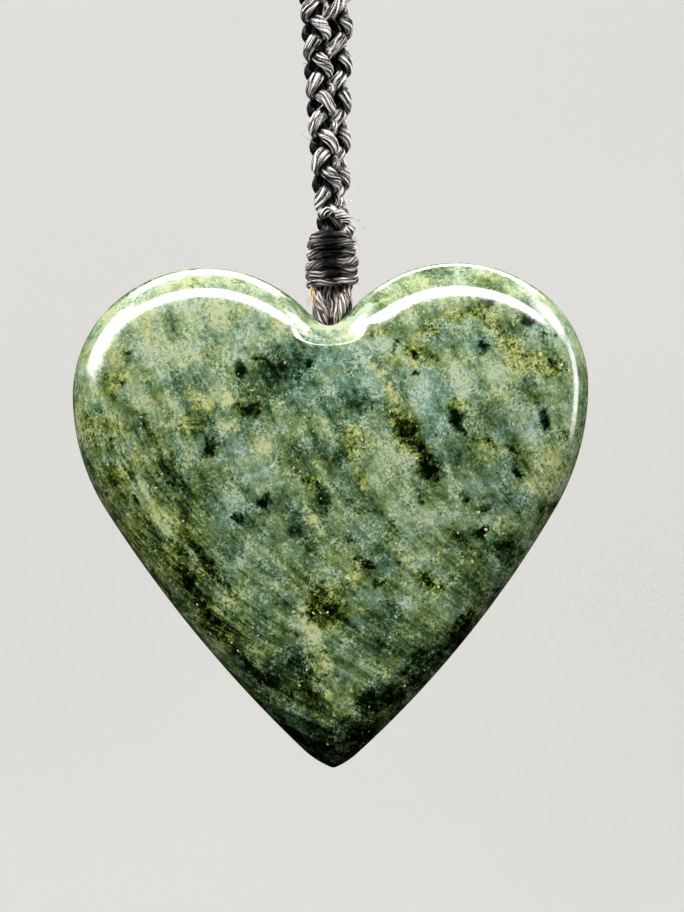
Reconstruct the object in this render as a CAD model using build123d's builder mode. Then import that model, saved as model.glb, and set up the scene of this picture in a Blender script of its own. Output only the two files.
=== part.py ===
from build123d import *
import math
import os

# Greenstone heart on a plaited neck loop, in millimetres.
# X runs across the heart, Y from its front to its back, and Z up.
# The origin is the inside of the loop's top, where the loop hangs on a round bar.

os.makedirs("parts", exist_ok=True)

# Heights of the hanging pendant
loop_drop = 338.0  # from the top of the bar down to the top of the whipping
bar_radius = 15.0  # the round bar or hook that carries the loop
whipping_rise = 16.36  # from the middle of the heart's lobes up to the top of the whipping

# The heart's outline, seen from the front, from the middle of its lobes
left_lobe_radius = 13.15
left_lobe_x = -12.15
left_lobe_z = -0.2
right_lobe_radius = 12.85
right_lobe_x = 12.35
right_lobe_z = 0.7
notch_radius = 2.95  # the hollow between the lobes
shoulder_radius = 20.4  # from each lobe's widest point down to its straight side
left_shoulder_turn = 32.5
right_shoulder_turn = 30.5
side_radius = 113.5
tip_radius = 1.65
smallest_tip_radius = 0.6  # of an inner section

# The heart's depth
half_thickness = 4.6
edge_width = 3.24  # the rounded band round the face
dome_middle_z = -5.0  # the dome's sections shrink towards this height

# The cord hole, from the notch down to the back
hole_radius = 1.38
hole_lean = 32.0  # from upright, towards the back
hole_x = -0.15
hole_mouth_y = -0.3
hole_over_notch = 3.0  # how far above the notch the drill starts
hole_length = 17.0

# The four doubled cords in the hole
cord_diameter = 0.92
cord_gap = 0.06  # between cords that lie side by side
bend_radius = 0.86  # of the inner cords where they turn up behind the stone
back_stand_off = 0.5  # of the bend's centre from the back face
loop_in_whipping = 3.15  # how far the doubled cords reach up into the whipping
fan_drop = 1.45  # below the whipping, where the outer cords pass in front of the inner ones
outer_fan = 1.75  # how far forward they stand there, in half spacings
inner_fan = -0.4
mouth_rise = 0.3  # above the hole's mouth, where the cords fall into line
back_rise = 2.6  # above the bend, where the cords leave the back of the stone
row_drop = 0.35  # below the whipping, where the cords behind it fall into a row
front_ease = 2.0  # largest radius of a cord's turns in front
back_ease = 1.2  # and behind

# The plaits
plait_pitch = 7.4
strand_thickness = 0.56
strand_width = 0.82
plait_clearance = 0.04
crossing_sharpness = 2.2
stations_per_pitch = 16
strand_sides = 10
plaited_height = 26.0  # above the whipping, where the strands are made one by one
plait_in_whipping = 1.15
pair_clearance = 0.05  # between the two plaits

# The whipping round both plaits
whipping_height = 5.76
thread_depth = 0.55
thread_height = 0.78
thread_pitch = 0.83
thread_stations = 22  # in each turn
whipping_clearance = 0.06
whipping_x = 0.1
whipping_corner = 3.0  # exponent of its rounded oblong section
tail_diameter = 0.5

# The plain binding that closes the loop near its top
binding_down = 55.0  # from where the cord leaves the bar down to the binding's middle
binding_length = 12.0
binding_wall = 0.7
binding_clearance = 0.12
joint_gap = 0.2  # where two lengths of the loop meet

# Places worked out from the sizes
stone_z = -loop_drop - whipping_rise
whipping_top = -loop_drop
whipping_bottom = whipping_top - whipping_height
cord_radius = cord_diameter / 2
row_spacing = cord_diameter + cord_gap
half_spacing = row_spacing / 2
plait_radius = 2 * strand_thickness + 1.5 * plait_clearance + 0.09
inner_track = strand_thickness / 2 + plait_clearance
outer_track = plait_radius - strand_thickness / 2
middle_track = (inner_track + outer_track) / 2
track_swing = (outer_track - inner_track) / 2

# Sections from the middle of the stone's depth out to the start of its dome:
# how far the outline has moved in, and how far out the section stands, both as shares.
INSET, DEPTH = 0, 1
EDGE_SECTIONS = [
    (0.0, 0.0),
    (0.067, 0.244),
    (0.26, 0.505),
    (0.55, 0.688),
    (0.90, 0.783),
    (1.0, 0.795),
]
# Sections of the dome: the size of the last edge section that is left, and the depth.
SIZE = 0
DOME_SECTIONS = [
    (0.85, 0.865),
    (0.66, 0.93),
    (0.45, 0.975),
    (0.22, 1.0),
]


def across(angle, radius):
    """The step from a circle's centre to its rim, at an angle in degrees."""
    return radius * math.cos(math.radians(angle)), radius * math.sin(math.radians(angle))


def bearing(start, end):
    """The direction in degrees from one point to another, from 0 to 360."""
    return math.degrees(math.atan2(end[1] - start[1], end[0] - start[0])) % 360


def meeting_point(first, first_radius, second, second_radius, upper):
    """The upper or lower point where two circles cross."""
    reach = math.dist(first, second)
    along = (first_radius**2 - second_radius**2 + reach**2) / (2 * reach)
    aside = math.sqrt(first_radius**2 - along**2)
    ux = (second[0] - first[0]) / reach
    uz = (second[1] - first[1]) / reach
    points = [
        (first[0] + ux * along - uz * aside, first[1] + uz * along + ux * aside),
        (first[0] + ux * along + uz * aside, first[1] + uz * along - ux * aside),
    ]
    points.sort(key=lambda point: point[1])
    return points[1] if upper else points[0]


def heart_outline(inset, scale):
    """Draw the heart from tangent arcs, moved in by inset and then scaled about the dome's middle."""
    left = (left_lobe_x, left_lobe_z)
    right = (right_lobe_x, right_lobe_z)
    notch = meeting_point(
        left, left_lobe_radius + notch_radius, right, right_lobe_radius + notch_radius, True
    )
    left_turn = 180 + left_shoulder_turn
    right_turn = 360 - right_shoulder_turn
    left_shoulder = (left[0] + shoulder_radius - left_lobe_radius, left[1])
    right_shoulder = (right[0] - shoulder_radius + right_lobe_radius, right[1])
    step_x, step_z = across(left_turn, shoulder_radius - side_radius)
    left_side = (left_shoulder[0] + step_x, left_shoulder[1] + step_z)
    step_x, step_z = across(right_turn, shoulder_radius - side_radius)
    right_side = (right_shoulder[0] + step_x, right_shoulder[1] + step_z)
    tip_arc = max(tip_radius - inset, smallest_tip_radius)
    reach = side_radius - inset - tip_arc
    tip = meeting_point(left_side, reach, right_side, reach, False)

    def arc(centre, radius, start, end):
        middle = (centre[0] * scale, dome_middle_z + (centre[1] - dome_middle_z) * scale)
        CenterArc(middle, radius * scale, start, end - start)

    notch_left = bearing(notch, left)
    notch_right = bearing(notch, right)
    tip_left = bearing(left_side, tip)
    tip_right = bearing(right_side, tip)
    arc(notch, notch_radius + inset, notch_left, notch_right)
    arc(right, right_lobe_radius - inset, notch_right - 180, 0)
    arc(right_shoulder, shoulder_radius - inset, 360, right_turn)
    arc(right_side, side_radius - inset, right_turn, tip_right)
    arc(tip, tip_arc, tip_right, tip_left)
    arc(left_side, side_radius - inset, tip_left, left_turn)
    arc(left_shoulder, shoulder_radius - inset, left_turn, 180)
    arc(left, left_lobe_radius - inset, 180, notch_left - 180)


def stone_levels():
    """The inset, scale and depth of every section, from the back dome to the front one."""
    half = [(row[INSET] * edge_width, 1.0, row[DEPTH] * half_thickness) for row in EDGE_SECTIONS]
    half += [(edge_width, row[SIZE], row[DEPTH] * half_thickness) for row in DOME_SECTIONS]
    back = [(inset, scale, -depth) for inset, scale, depth in reversed(half[1:])]
    return back + half


def largest_radii(points, limit=1e9):
    """For each corner of a route, the largest radius that its two runs allow."""
    radii = []
    for before, corner, after in zip(points, points[1:], points[2:]):
        arriving = Vector(*corner) - Vector(*before)
        leaving = Vector(*after) - Vector(*corner)
        half_turn = math.radians(arriving.get_angle(leaving)) / 2
        run = min(arriving.length, leaving.length)
        radii.append(min(limit, 0.45 * run / math.tan(half_turn)))
    return radii


def faceted_tube(rings):
    """A closed solid of flat triangles through rings of points, with flat ends."""
    faces = [Face(Wire.make_polygon(rings[0])), Face(Wire.make_polygon(rings[-1]))]
    for lower, upper in zip(rings, rings[1:]):
        for here in range(len(lower)):
            there = (here + 1) % len(lower)
            faces.append(Face(Wire.make_polygon([lower[here], lower[there], upper[there]])))
            faces.append(Face(Wire.make_polygon([lower[here], upper[there], upper[here]])))
    return Solid(Shell(faces))


def oval_ring(centre, forward, outward, depth, width, sides):
    """A ring of points across a strand, thin along outward."""
    side = forward.cross(outward).normalized()
    out = side.cross(forward).normalized()
    ring = []
    for number in range(sides):
        angle = 2 * math.pi * number / sides
        step = out * (math.cos(angle) * depth / 2) + side * (math.sin(angle) * width / 2)
        ring.append(centre + step)
    return ring


# The stone, domed on both faces, with the cord hole through its notch
stone_plane = Plane(origin=(0, 0, stone_z), x_dir=(1, 0, 0), z_dir=(0, -1, 0))
notch_centre = meeting_point(
    (left_lobe_x, left_lobe_z),
    left_lobe_radius + notch_radius,
    (right_lobe_x, right_lobe_z),
    right_lobe_radius + notch_radius,
    True,
)
notch_z = notch_centre[1] - notch_radius
hole_way = Vector(0, math.sin(math.radians(hole_lean)), -math.cos(math.radians(hole_lean)))
hole_side = Vector(0, math.cos(math.radians(hole_lean)), math.sin(math.radians(hole_lean)))
hole_mouth = Vector(hole_x, hole_mouth_y, stone_z + notch_z)
hole_plane = Plane(origin=hole_mouth - hole_way * hole_over_notch, x_dir=(1, 0, 0), z_dir=hole_way)

with BuildPart() as heart_stone:
    for inset, scale, depth in stone_levels():
        with BuildSketch(stone_plane.offset(depth)):
            with BuildLine():
                heart_outline(inset, scale)
            make_face()
    loft(ruled=True)
    with BuildSketch(hole_plane):
        Circle(hole_radius)
    extrude(amount=hole_length, mode=Mode.SUBTRACT)
heart_stone.part.label = "heart_stone"
export_step(heart_stone.part, "parts/heart_stone.step")

# The doubled cords: down from the whipping into the notch, through the hole,
# up behind the stone, and back into the whipping
loop_top = whipping_bottom + loop_in_whipping
dome_back = EDGE_SECTIONS[-1][DEPTH] * half_thickness + back_stand_off
bend_along = (dome_back - hole_mouth_y - hole_radius * hole_side.Y) / hole_way.Y
bend_centre = hole_mouth + hole_way * bend_along + hole_side * hole_radius
half_lean = math.radians(hole_lean / 2)
bend_outward = Vector(0, math.sin(half_lean), -math.cos(half_lean))

# Each cord's place in the whipping's row and across the hole, in spacings from the middle,
# its turn outside the inner cords, how far forward it fans, and how soon it draws in.
NAME, ROW_PLACE, HOLE_PLACE, OUTER, FAN, DRAWN_IN = range(6)
LOOP_CORDS = [
    ("loop_strand_1", -1.5, -0.5, 1, outer_fan, 0.25),
    ("loop_strand_2", -0.5, -0.5, 0, inner_fan, 0.6),
    ("loop_strand_3", 0.5, 0.5, 0, inner_fan, 0.6),
    ("loop_strand_4", 1.5, 0.5, 1, outer_fan, 0.25),
]

for cord in LOOP_CORDS:
    row_x = whipping_x + cord[ROW_PLACE] * row_spacing
    bore_x = hole_x + cord[HOLE_PLACE] * row_spacing
    radius = bend_radius + cord[OUTER] * row_spacing
    arc_centre = Vector(bore_x, bend_centre.Y, bend_centre.Z)
    bend_start = arc_centre - hole_side * radius
    bend_middle = arc_centre + bend_outward * radius
    bend_end = arc_centre + Vector(0, radius, 0)
    fan_x = row_x + (bore_x - row_x) * cord[DRAWN_IN]
    fan_y = hole_mouth_y - half_spacing * cord[FAN]
    front = [
        Vector(row_x, -half_spacing, loop_top),
        Vector(row_x, -half_spacing, whipping_bottom - whipping_clearance),
        Vector(fan_x, fan_y, whipping_bottom - fan_drop),
        bend_start - hole_way * (bend_along + mouth_rise),
        bend_start,
    ]
    back = [
        bend_end,
        Vector(row_x, bend_end.Y, bend_end.Z + back_rise),
        Vector(row_x, half_spacing, whipping_bottom - row_drop),
        Vector(row_x, half_spacing, loop_top),
    ]
    with BuildPart() as loop_strand:
        with BuildLine() as route:
            FilletPolyline(*front, radius=largest_radii(front, front_ease))
            ThreePointArc(bend_start, bend_middle, bend_end)
            FilletPolyline(*back, radius=largest_radii(back, back_ease))
        with BuildSketch(Plane(origin=front[0], z_dir=(0, 0, -1))):
            Circle(cord_radius)
        sweep(path=route.line)
    loop_strand.part.label = cord[NAME]
    export_step(loop_strand.part, f"parts/{cord[NAME]}.step")

# The whipping: one thread wound round the plaits and the doubled cords.
# Each row: how far down, how far its width and its depth have gone from top to bottom.
DOWN, WIDTH_SHARE, DEPTH_SHARE = 0, 1, 2
WHIPPING_SHAPE = [
    (0.0, 0.0, 0.0),
    (0.25, 0.45, 0.0),
    (0.55, 1.0, 0.55),
    (1.0, 1.0, 1.0),
]
pair_half_x = 0.2  # of the plaits' centres at the whipping, from its middle
pair_half_y = math.sqrt((plait_radius + pair_clearance / 2) ** 2 - pair_half_x**2)
top_half_width = plait_radius + pair_half_x + whipping_clearance
top_half_depth = plait_radius + pair_half_y + whipping_clearance
bottom_half_width = 1.5 * row_spacing + cord_radius + whipping_clearance
bottom_half_depth = half_spacing + cord_radius + 4 * whipping_clearance


def share_at(down, column):
    """A column of the whipping's shape at a share of its height, between its rows."""
    for above, below in zip(WHIPPING_SHAPE, WHIPPING_SHAPE[1:]):
        if down <= below[DOWN]:
            part = (down - above[DOWN]) / (below[DOWN] - above[DOWN])
            return above[column] + part * (below[column] - above[column])
    return WHIPPING_SHAPE[-1][column]


def whipping_point(angle, down):
    """The thread's centre at an angle round the whipping and a share of its height."""
    wide = top_half_width + share_at(down, WIDTH_SHARE) * (bottom_half_width - top_half_width)
    deep = top_half_depth + share_at(down, DEPTH_SHARE) * (bottom_half_depth - top_half_depth)
    wide += thread_depth / 2
    deep += thread_depth / 2
    reach_x = abs(math.cos(angle) / wide) ** whipping_corner
    reach_y = abs(math.sin(angle) / deep) ** whipping_corner
    reach = (reach_x + reach_y) ** (-1 / whipping_corner)
    travel = whipping_height - thread_height
    z = whipping_top - thread_height / 2 - down * travel
    return Vector(whipping_x + reach * math.cos(angle), reach * math.sin(angle), z)


turns = (whipping_height - thread_height) / thread_pitch
station_count = round(turns * thread_stations)
rings = []
for number in range(station_count + 1):
    down = number / station_count
    angle = math.pi / 2 + 2 * math.pi * turns * down
    here = whipping_point(angle, down)
    nudge = 0.01
    ahead = whipping_point(angle + nudge, down)
    behind = whipping_point(angle - nudge, down)
    forward = (ahead - behind).normalized()
    outward = Vector(forward.Y, -forward.X, 0)
    rings.append(oval_ring(here, forward, outward, thread_depth, thread_height, strand_sides))

with BuildPart() as whipping:
    add(faceted_tube(rings))
whipping.part.label = "whipping"
export_step(whipping.part, "parts/whipping.step")

# The thread's tail, which stands up as an arch in front of the plaits
TAIL_ROUTE = [
    (-1.45, -2.35, 0.35),
    (-1.3, -2.85, 1.15),
    (-0.1, -3.1, 1.85),
    (1.25, -2.6, 1.3),
    (2.0, -1.75, 0.35),
]
tail_points = [Vector(whipping_x + x, y, whipping_top + z) for x, y, z in TAIL_ROUTE]
with BuildPart() as whipping_tail:
    with BuildLine() as route:
        FilletPolyline(*tail_points, radius=largest_radii(tail_points))
    with BuildSketch(Plane(origin=tail_points[0], z_dir=route.line % 0)):
        Circle(tail_diameter / 2)
    sweep(path=route.line)
whipping_tail.part.label = "whipping_tail"
export_step(whipping_tail.part, "parts/whipping_tail.step")

# The two plaits, each of four strands, where the strands are made one by one.
# Each plait leans out as it rises; the left one starts in front of the right one.
LEFT, RIGHT = "left", "right"
PLAIT_LEAN = {LEFT: -4.15, RIGHT: 1.35}  # degrees from upright, seen from the front
PLAIT_START = {LEFT: -pair_half_x, RIGHT: pair_half_x}
PLAIT_FRONT = {LEFT: -pair_half_y, RIGHT: pair_half_y}
untwist_height = 24.5  # above the whipping, where the plaits lie side by side
untwist_power = 0.7


def plait_centre(side, height):
    """The middle of a plait at a height above the top of the whipping."""
    above = max(height, 0)
    x = whipping_x + PLAIT_START[side] + above * math.tan(math.radians(PLAIT_LEAN[side]))
    turn = min(above / untwist_height, 1) * math.pi / 2
    y = PLAIT_FRONT[side] * max(math.cos(turn), 0) ** untwist_power
    return Vector(x, y, whipping_top + height)


def strand_point(side, number, height):
    """The middle of one strand, and its direction from the plait's middle."""
    hand = 1 if number % 2 else -1
    half = number // 3
    phase = 4 * math.pi * height / plait_pitch
    over = math.tanh(crossing_sharpness * math.cos(phase)) / math.tanh(crossing_sharpness)
    track = middle_track + hand * track_swing * over
    angle = math.radians(-135) + hand * phase / 2 + half * math.pi
    outward = Vector(math.cos(angle), math.sin(angle), 0)
    return plait_centre(side, height) + outward * track, outward


station_step = plait_pitch / stations_per_pitch
first_station = -round(plait_in_whipping / station_step)
last_station = round(plaited_height / station_step)
for side in (LEFT, RIGHT):
    for number in (1, 2, 3, 4):
        rings = []
        for station in range(first_station, last_station + 1):
            height = station * station_step
            here, outward = strand_point(side, number, height)
            ahead, _ = strand_point(side, number, height + 0.02)
            behind, _ = strand_point(side, number, height - 0.02)
            forward = ahead - behind
            rings.append(
                oval_ring(here, forward.normalized(), outward, strand_thickness, strand_width,
                          strand_sides)
            )
        name = f"{side}_strand_{number}"
        with BuildPart() as strand:
            add(faceted_tube(rings))
        strand.part.label = name
        export_step(strand.part, f"parts/{name}.step")

# The rest of the loop, as plain round cord: the stone's weight pulls each side straight,
# from the bend where it leaves the photographed lean up to the bar.
# Each bend is a distance across and a height above the top of the whipping.
LEFT_BEND = (-3.8, 51.0)
RIGHT_BEND = (1.5, 51.0)
bar_centre = (0, -bar_radius)
loop_radius = bar_radius + plait_radius


def tangent_point(point, hand):
    """Where a straight run from a point meets the arc over the bar."""
    across_up = (point.X, point.Z)
    reach = math.dist(bar_centre, across_up)
    angle = bearing(bar_centre, across_up) + hand * math.degrees(math.acos(loop_radius / reach))
    step_x, step_z = across(angle, loop_radius)
    return Vector(step_x, 0, bar_centre[1] + step_z)


plaited_top = last_station * station_step
left_foot = plait_centre(LEFT, plaited_top + joint_gap)
right_foot = plait_centre(RIGHT, plaited_top + joint_gap)
left_bend = Vector(LEFT_BEND[0], 0, whipping_top + LEFT_BEND[1])
right_bend = Vector(RIGHT_BEND[0], 0, whipping_top + RIGHT_BEND[1])
left_touch = tangent_point(left_bend, -1)
right_touch = tangent_point(right_bend, 1)
right_way = (right_touch - right_bend).normalized()
binding_way = (left_touch - left_bend).normalized()
binding_middle = left_touch - binding_way * binding_down
left_end = binding_middle - binding_way * (joint_gap / 2)
right_end = binding_middle + binding_way * (joint_gap / 2)

left_points = [left_foot, left_bend, left_end]
right_points = [right_foot, right_bend, right_touch - right_way * joint_gap]
print("left leg radii", [round(radius) for radius in largest_radii(left_points)])
print("right leg radii", [round(radius) for radius in largest_radii(right_points)])
print("over the bar", loop_radius)

with BuildPart() as left_neck_cord:
    with BuildLine() as route:
        FilletPolyline(*left_points, radius=largest_radii(left_points))
    with BuildSketch(Plane(origin=left_points[0], z_dir=route.line % 0)):
        Circle(plait_radius)
    sweep(path=route.line)
left_neck_cord.part.label = "left_neck_cord"
export_step(left_neck_cord.part, "parts/left_neck_cord.step")
left_length = route.wire().length

with BuildPart() as right_neck_cord:
    with BuildLine() as route:
        FilletPolyline(*right_points, radius=largest_radii(right_points))
    with BuildSketch(Plane(origin=right_points[0], z_dir=route.line % 0)):
        Circle(plait_radius)
    sweep(path=route.line)
right_neck_cord.part.label = "right_neck_cord"
export_step(right_neck_cord.part, "parts/right_neck_cord.step")
right_length = route.wire().length

with BuildPart() as neck_arch:
    with BuildLine() as route:
        ThreePointArc(right_touch, Vector(0, 0, plait_radius), left_touch)
    with BuildSketch(Plane(origin=right_touch, z_dir=route.line % 0)):
        Circle(plait_radius)
    sweep(path=route.line)
neck_arch.part.label = "neck_arch"
export_step(neck_arch.part, "parts/neck_arch.step")
arch_length = route.wire().length

with BuildPart() as right_neck_end:
    with BuildSketch(Plane(origin=right_end, z_dir=binding_way)):
        Circle(plait_radius)
    extrude(amount=(left_touch - right_end).length - joint_gap)
right_neck_end.part.label = "right_neck_end"
export_step(right_neck_end.part, "parts/right_neck_end.step")
end_length = (left_touch - right_end).length
print("loop length", round(left_length + right_length + arch_length + end_length
                           + 2 * plaited_top + joint_gap * 4, 1))

# The binding over the place where the two lengths of the loop meet
binding_inner = plait_radius + binding_clearance
with BuildPart() as nape_binding:
    with BuildSketch(Plane(origin=binding_middle - binding_way * (binding_length / 2),
                           z_dir=binding_way)):
        Circle(binding_inner + binding_wall)
        Circle(binding_inner, mode=Mode.SUBTRACT)
    extrude(amount=binding_length)
    chamfer(nape_binding.edges().filter_by(GeomType.CIRCLE).group_by(SortBy.RADIUS)[-1],
            binding_wall / 3)
nape_binding.part.label = "nape_binding"
export_step(nape_binding.part, "parts/nape_binding.step")
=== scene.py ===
import math
import random

import bmesh
import bpy
import numpy as np
from mathutils import Matrix, Vector, noise


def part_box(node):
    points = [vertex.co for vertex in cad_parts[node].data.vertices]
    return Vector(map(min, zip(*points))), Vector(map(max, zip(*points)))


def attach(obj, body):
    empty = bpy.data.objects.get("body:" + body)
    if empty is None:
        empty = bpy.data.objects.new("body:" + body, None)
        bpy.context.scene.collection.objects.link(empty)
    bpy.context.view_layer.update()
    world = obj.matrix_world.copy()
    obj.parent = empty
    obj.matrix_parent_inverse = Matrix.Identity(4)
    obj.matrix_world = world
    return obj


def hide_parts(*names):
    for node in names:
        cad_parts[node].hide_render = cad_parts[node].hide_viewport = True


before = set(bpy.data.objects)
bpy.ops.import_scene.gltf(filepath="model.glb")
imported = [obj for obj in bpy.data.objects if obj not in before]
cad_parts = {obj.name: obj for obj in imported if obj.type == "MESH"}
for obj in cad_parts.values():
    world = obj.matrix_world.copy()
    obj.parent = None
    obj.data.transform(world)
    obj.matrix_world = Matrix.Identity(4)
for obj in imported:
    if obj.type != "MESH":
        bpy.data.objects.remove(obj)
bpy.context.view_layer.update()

# The looks of a polished greenstone heart on its plaited neck loop.
# Lengths are in millimetres until a mesh is made. Blender's own are metres.
MM = 0.001

# The heart's outline from the front, from the middle of the lobes. Each side is a chain of
# arcs that run on from each other, from the notch down to the tip, each with a radius and the
# angle where it ends. The left side is drawn here as if it were on the right.
LEFT, RIGHT = "left", "right"
RADIUS, LAST_ANGLE = range(2)
FIRST_CENTRE = {LEFT: (12.18, -0.82), RIGHT: (12.2, -0.46)}
ARCS = {
    LEFT: [(13.55, 49.3), (12.08, 0.0), (20.93, -32.7), (126.5, -46.35), (8.87, -90.0)],
    RIGHT: [(13.70, 50.3), (11.53, 0.0), (23.77, -30.25), (101.2, -47.7), (7.75, -90.0)],
}
UPPER_STEPS = (62, 28, 34)
lower_steps = 58
notch_steps = 28
tip_steps = 12
notch_radius = 2.95
tip_radius = 0.7
smallest_tip_radius = 0.3

# The heart's depth: arcs from the rim up to the face, each from one tilt of the surface to
# the next, with a radius and the steps that it is cut into.
half_thickness = 4.6
dome_middle_z = -5.0
FROM_TILT, TO_TILT, BEND_RADIUS, BEND_STEPS = range(4)
EDGE_BENDS = [
    (90, 68, 3.0, 8),
    (68, 56, 6.5, 6),
    (56, 28, 2.6, 9),
    (28, 14, 5.0, 8),
    (14, 5, 2.0, 4),
]
# In the notch the edge is broader and meets the face in a sharp bend, between these insets.
notch_bend = (1.75, 3.2)
notch_broadening = 0.28
notch_sharpness = 0.80
# How much wider the rounded edge is over the top of each lobe
LOBE_WIDENING = {LEFT: 0.36, RIGHT: 1.2}
dome_reach = 15.0  # from the band in to where the face is flat
dome_steps = 84
smallest_dome = 0.02
# How the dome's heights are eased: passes over the dome and the edge, and each pass's shares
dome_passes = 160
edge_passes = 20
ease_across = 0.35
ease_round = 0.25
smooth_below = math.radians(40)

# Where things hang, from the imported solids
stone_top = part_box("heart_stone")[1].z / MM
stone_z = stone_top - 13.55  # the middle of the lobes
whipping_rise = 16.36
whipping_top = stone_z + whipping_rise
whipping_height = 5.76
whipping_bottom = whipping_top - whipping_height
whipping_x = 0.1

# The cord hole
hole_radius = 1.38
hole_lean = math.radians(32.0)
hole_x = -0.15
hole_mouth_y = -0.3

rng = random.Random(7)
noise.seed_set(7)  # without it noise vectors differ from run to run


def across(angle, radius):
    """The step from a circle's centre to its rim, at an angle in degrees."""
    return radius * math.cos(math.radians(angle)), radius * math.sin(math.radians(angle))


def on_circle(centre, angle, radius):
    """The point on a circle at an angle in degrees."""
    step_x, step_z = across(angle, radius)
    return centre[0] + step_x, centre[1] + step_z


def bearing(start, end):
    """The direction in degrees from one point to another, from 0 to 360."""
    return math.degrees(math.atan2(end[1] - start[1], end[0] - start[0])) % 360


def meeting_point(first, first_radius, second, second_radius, upper):
    """The upper or lower point where two circles cross."""
    reach = math.dist(first, second)
    along = (first_radius**2 - second_radius**2 + reach**2) / (2 * reach)
    aside = math.sqrt(first_radius**2 - along**2)
    ux = (second[0] - first[0]) / reach
    uz = (second[1] - first[1]) / reach
    points = [
        (first[0] + ux * along - uz * aside, first[1] + uz * along + ux * aside),
        (first[0] + ux * along + uz * aside, first[1] + uz * along - ux * aside),
    ]
    points.sort(key=lambda point: point[1])
    return points[1] if upper else points[0]


def smooth_step(low, high, value):
    """0 below low, 1 above high, and smooth between them, for numbers or arrays."""
    share = np.clip((value - low) / (high - low), 0.0, 1.0)
    return share * share * (3 - 2 * share)


def only_select(*objects):
    """Leave only these objects selected, the first of them active."""
    bpy.ops.object.select_all(action="DESELECT")
    for thing in objects:
        thing.select_set(True)
    bpy.context.view_layer.objects.active = objects[0]


def apply_modifier(thing, kind, **settings):
    """Add one modifier with its settings and apply it."""
    only_select(thing)
    modifier = thing.modifiers.new(kind.title(), kind)
    for name, value in settings.items():
        setattr(modifier, name, value)
    bpy.ops.object.modifier_apply(modifier=modifier.name)


def finish_piece(thing, material, slot, *nodes):
    """Give a piece its material, on the one body, and let it stand for solids. The slot is not used."""
    thing.data.materials.clear()
    thing.data.materials.append(material)
    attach(thing, "root")
    if nodes:
        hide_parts(*nodes)


# The stone

def mirror(point):
    return -point[0], point[1]


def arc_centres(side):
    """The centres of one side's arcs, each in line with the last where they join."""
    centres = [FIRST_CENTRE[side]]
    for arc, following in zip(ARCS[side], ARCS[side][1:]):
        centres.append(on_circle(centres[-1], arc[LAST_ANGLE], arc[RADIUS] - following[RADIUS]))
    return centres


def tip_corner(centres, inset):
    """Each side's last arc at this inset and its last angle, with the tip's centre and radius."""
    radius = max(tip_radius - inset, smallest_tip_radius)
    last = {LEFT: 4, RIGHT: 4}
    while True:
        left, right = last[LEFT], last[RIGHT]
        tip = meeting_point(
            mirror(centres[LEFT][left]), ARCS[LEFT][left][RADIUS] - inset - radius,
            centres[RIGHT][right], ARCS[RIGHT][right][RADIUS] - inset - radius, False,
        )
        angles = {
            LEFT: bearing(centres[LEFT][left], mirror(tip)) - 360,
            RIGHT: bearing(centres[RIGHT][right], tip) - 360,
        }
        spent = [side for side in last
                 if last[side] == 4 and angles[side] > ARCS[side][3][LAST_ANGLE]]
        if not spent:
            return last, angles, tip, radius
        last[spent[0]] = 3


def side_points(centres, side, first_angle, last, tip_angle, inset):
    """Points down one side, drawn on the right, from the notch's arc to the tip's."""
    points = []
    start = first_angle
    for number, steps in enumerate(UPPER_STEPS):
        radius, end = ARCS[side][number]
        for step in range(steps):
            angle = start + (end - start) * step / steps
            share = max(min(1 - angle / first_angle, 1), 0)
            spread = 1 + LOBE_WIDENING[side] * math.sin(math.pi * share**0.55) ** 3
            points.append(on_circle(centres[number], angle, radius - inset * spread))
        start = end
    arcs = []
    for number in range(3, last + 1):
        end = tip_angle if number == last else ARCS[side][number][LAST_ANGLE]
        arcs.append((centres[number], ARCS[side][number][RADIUS] - inset, start, end))
        start = end
    lengths = [radius * math.radians(begin - end) for _, radius, begin, end in arcs]
    for step in range(lower_steps + 1):
        travel = sum(lengths) * (1 - (1 - step / lower_steps) ** 1.5)
        number = 0 if travel <= lengths[0] or last == 3 else 1
        centre, radius, begin, _ = arcs[number]
        travel -= lengths[0] * number
        points.append(on_circle(centre, begin - math.degrees(travel / radius), radius))
    return points


def heart_ring(inset):
    """Points round the heart's outline, moved in by inset, from the notch round to the notch."""
    centres = {side: arc_centres(side) for side in (LEFT, RIGHT)}
    left_centre = mirror(centres[LEFT][0])
    right_centre = centres[RIGHT][0]
    notch = meeting_point(left_centre, ARCS[LEFT][0][RADIUS] + notch_radius,
                          right_centre, ARCS[RIGHT][0][RADIUS] + notch_radius, True)
    last, angles, tip, tip_arc = tip_corner(centres, inset)
    notch_left = bearing(notch, left_centre)
    notch_right = bearing(notch, right_centre)
    right = side_points(centres[RIGHT], RIGHT, notch_right - 180, last[RIGHT], angles[RIGHT],
                        inset)
    left = side_points(centres[LEFT], LEFT, 360 - notch_left, last[LEFT], angles[LEFT], inset)
    ring = []
    for step in range(notch_steps):
        share = step / notch_steps
        bump = math.sin(math.pi * share) ** 1.4
        near = min(inset, notch_bend[0])
        middle = min(max(inset - notch_bend[0], 0), notch_bend[1] - notch_bend[0])
        outward = inset + near * notch_broadening * bump - middle * notch_sharpness * bump
        angle = notch_left + (notch_right - notch_left) * share
        ring.append(on_circle(notch, angle, notch_radius + outward))
    ring += right[:-1]
    tip_right = 360 + angles[RIGHT]
    tip_left = 180 - angles[LEFT]
    for step in range(tip_steps):
        ring.append(on_circle(tip, tip_right + (tip_left - tip_right) * step / tip_steps, tip_arc))
    ring += [mirror(point) for point in reversed(left[1:])]
    return np.array(ring)


notch_bottom = heart_ring(0.0)[notch_steps // 2][1]


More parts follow.
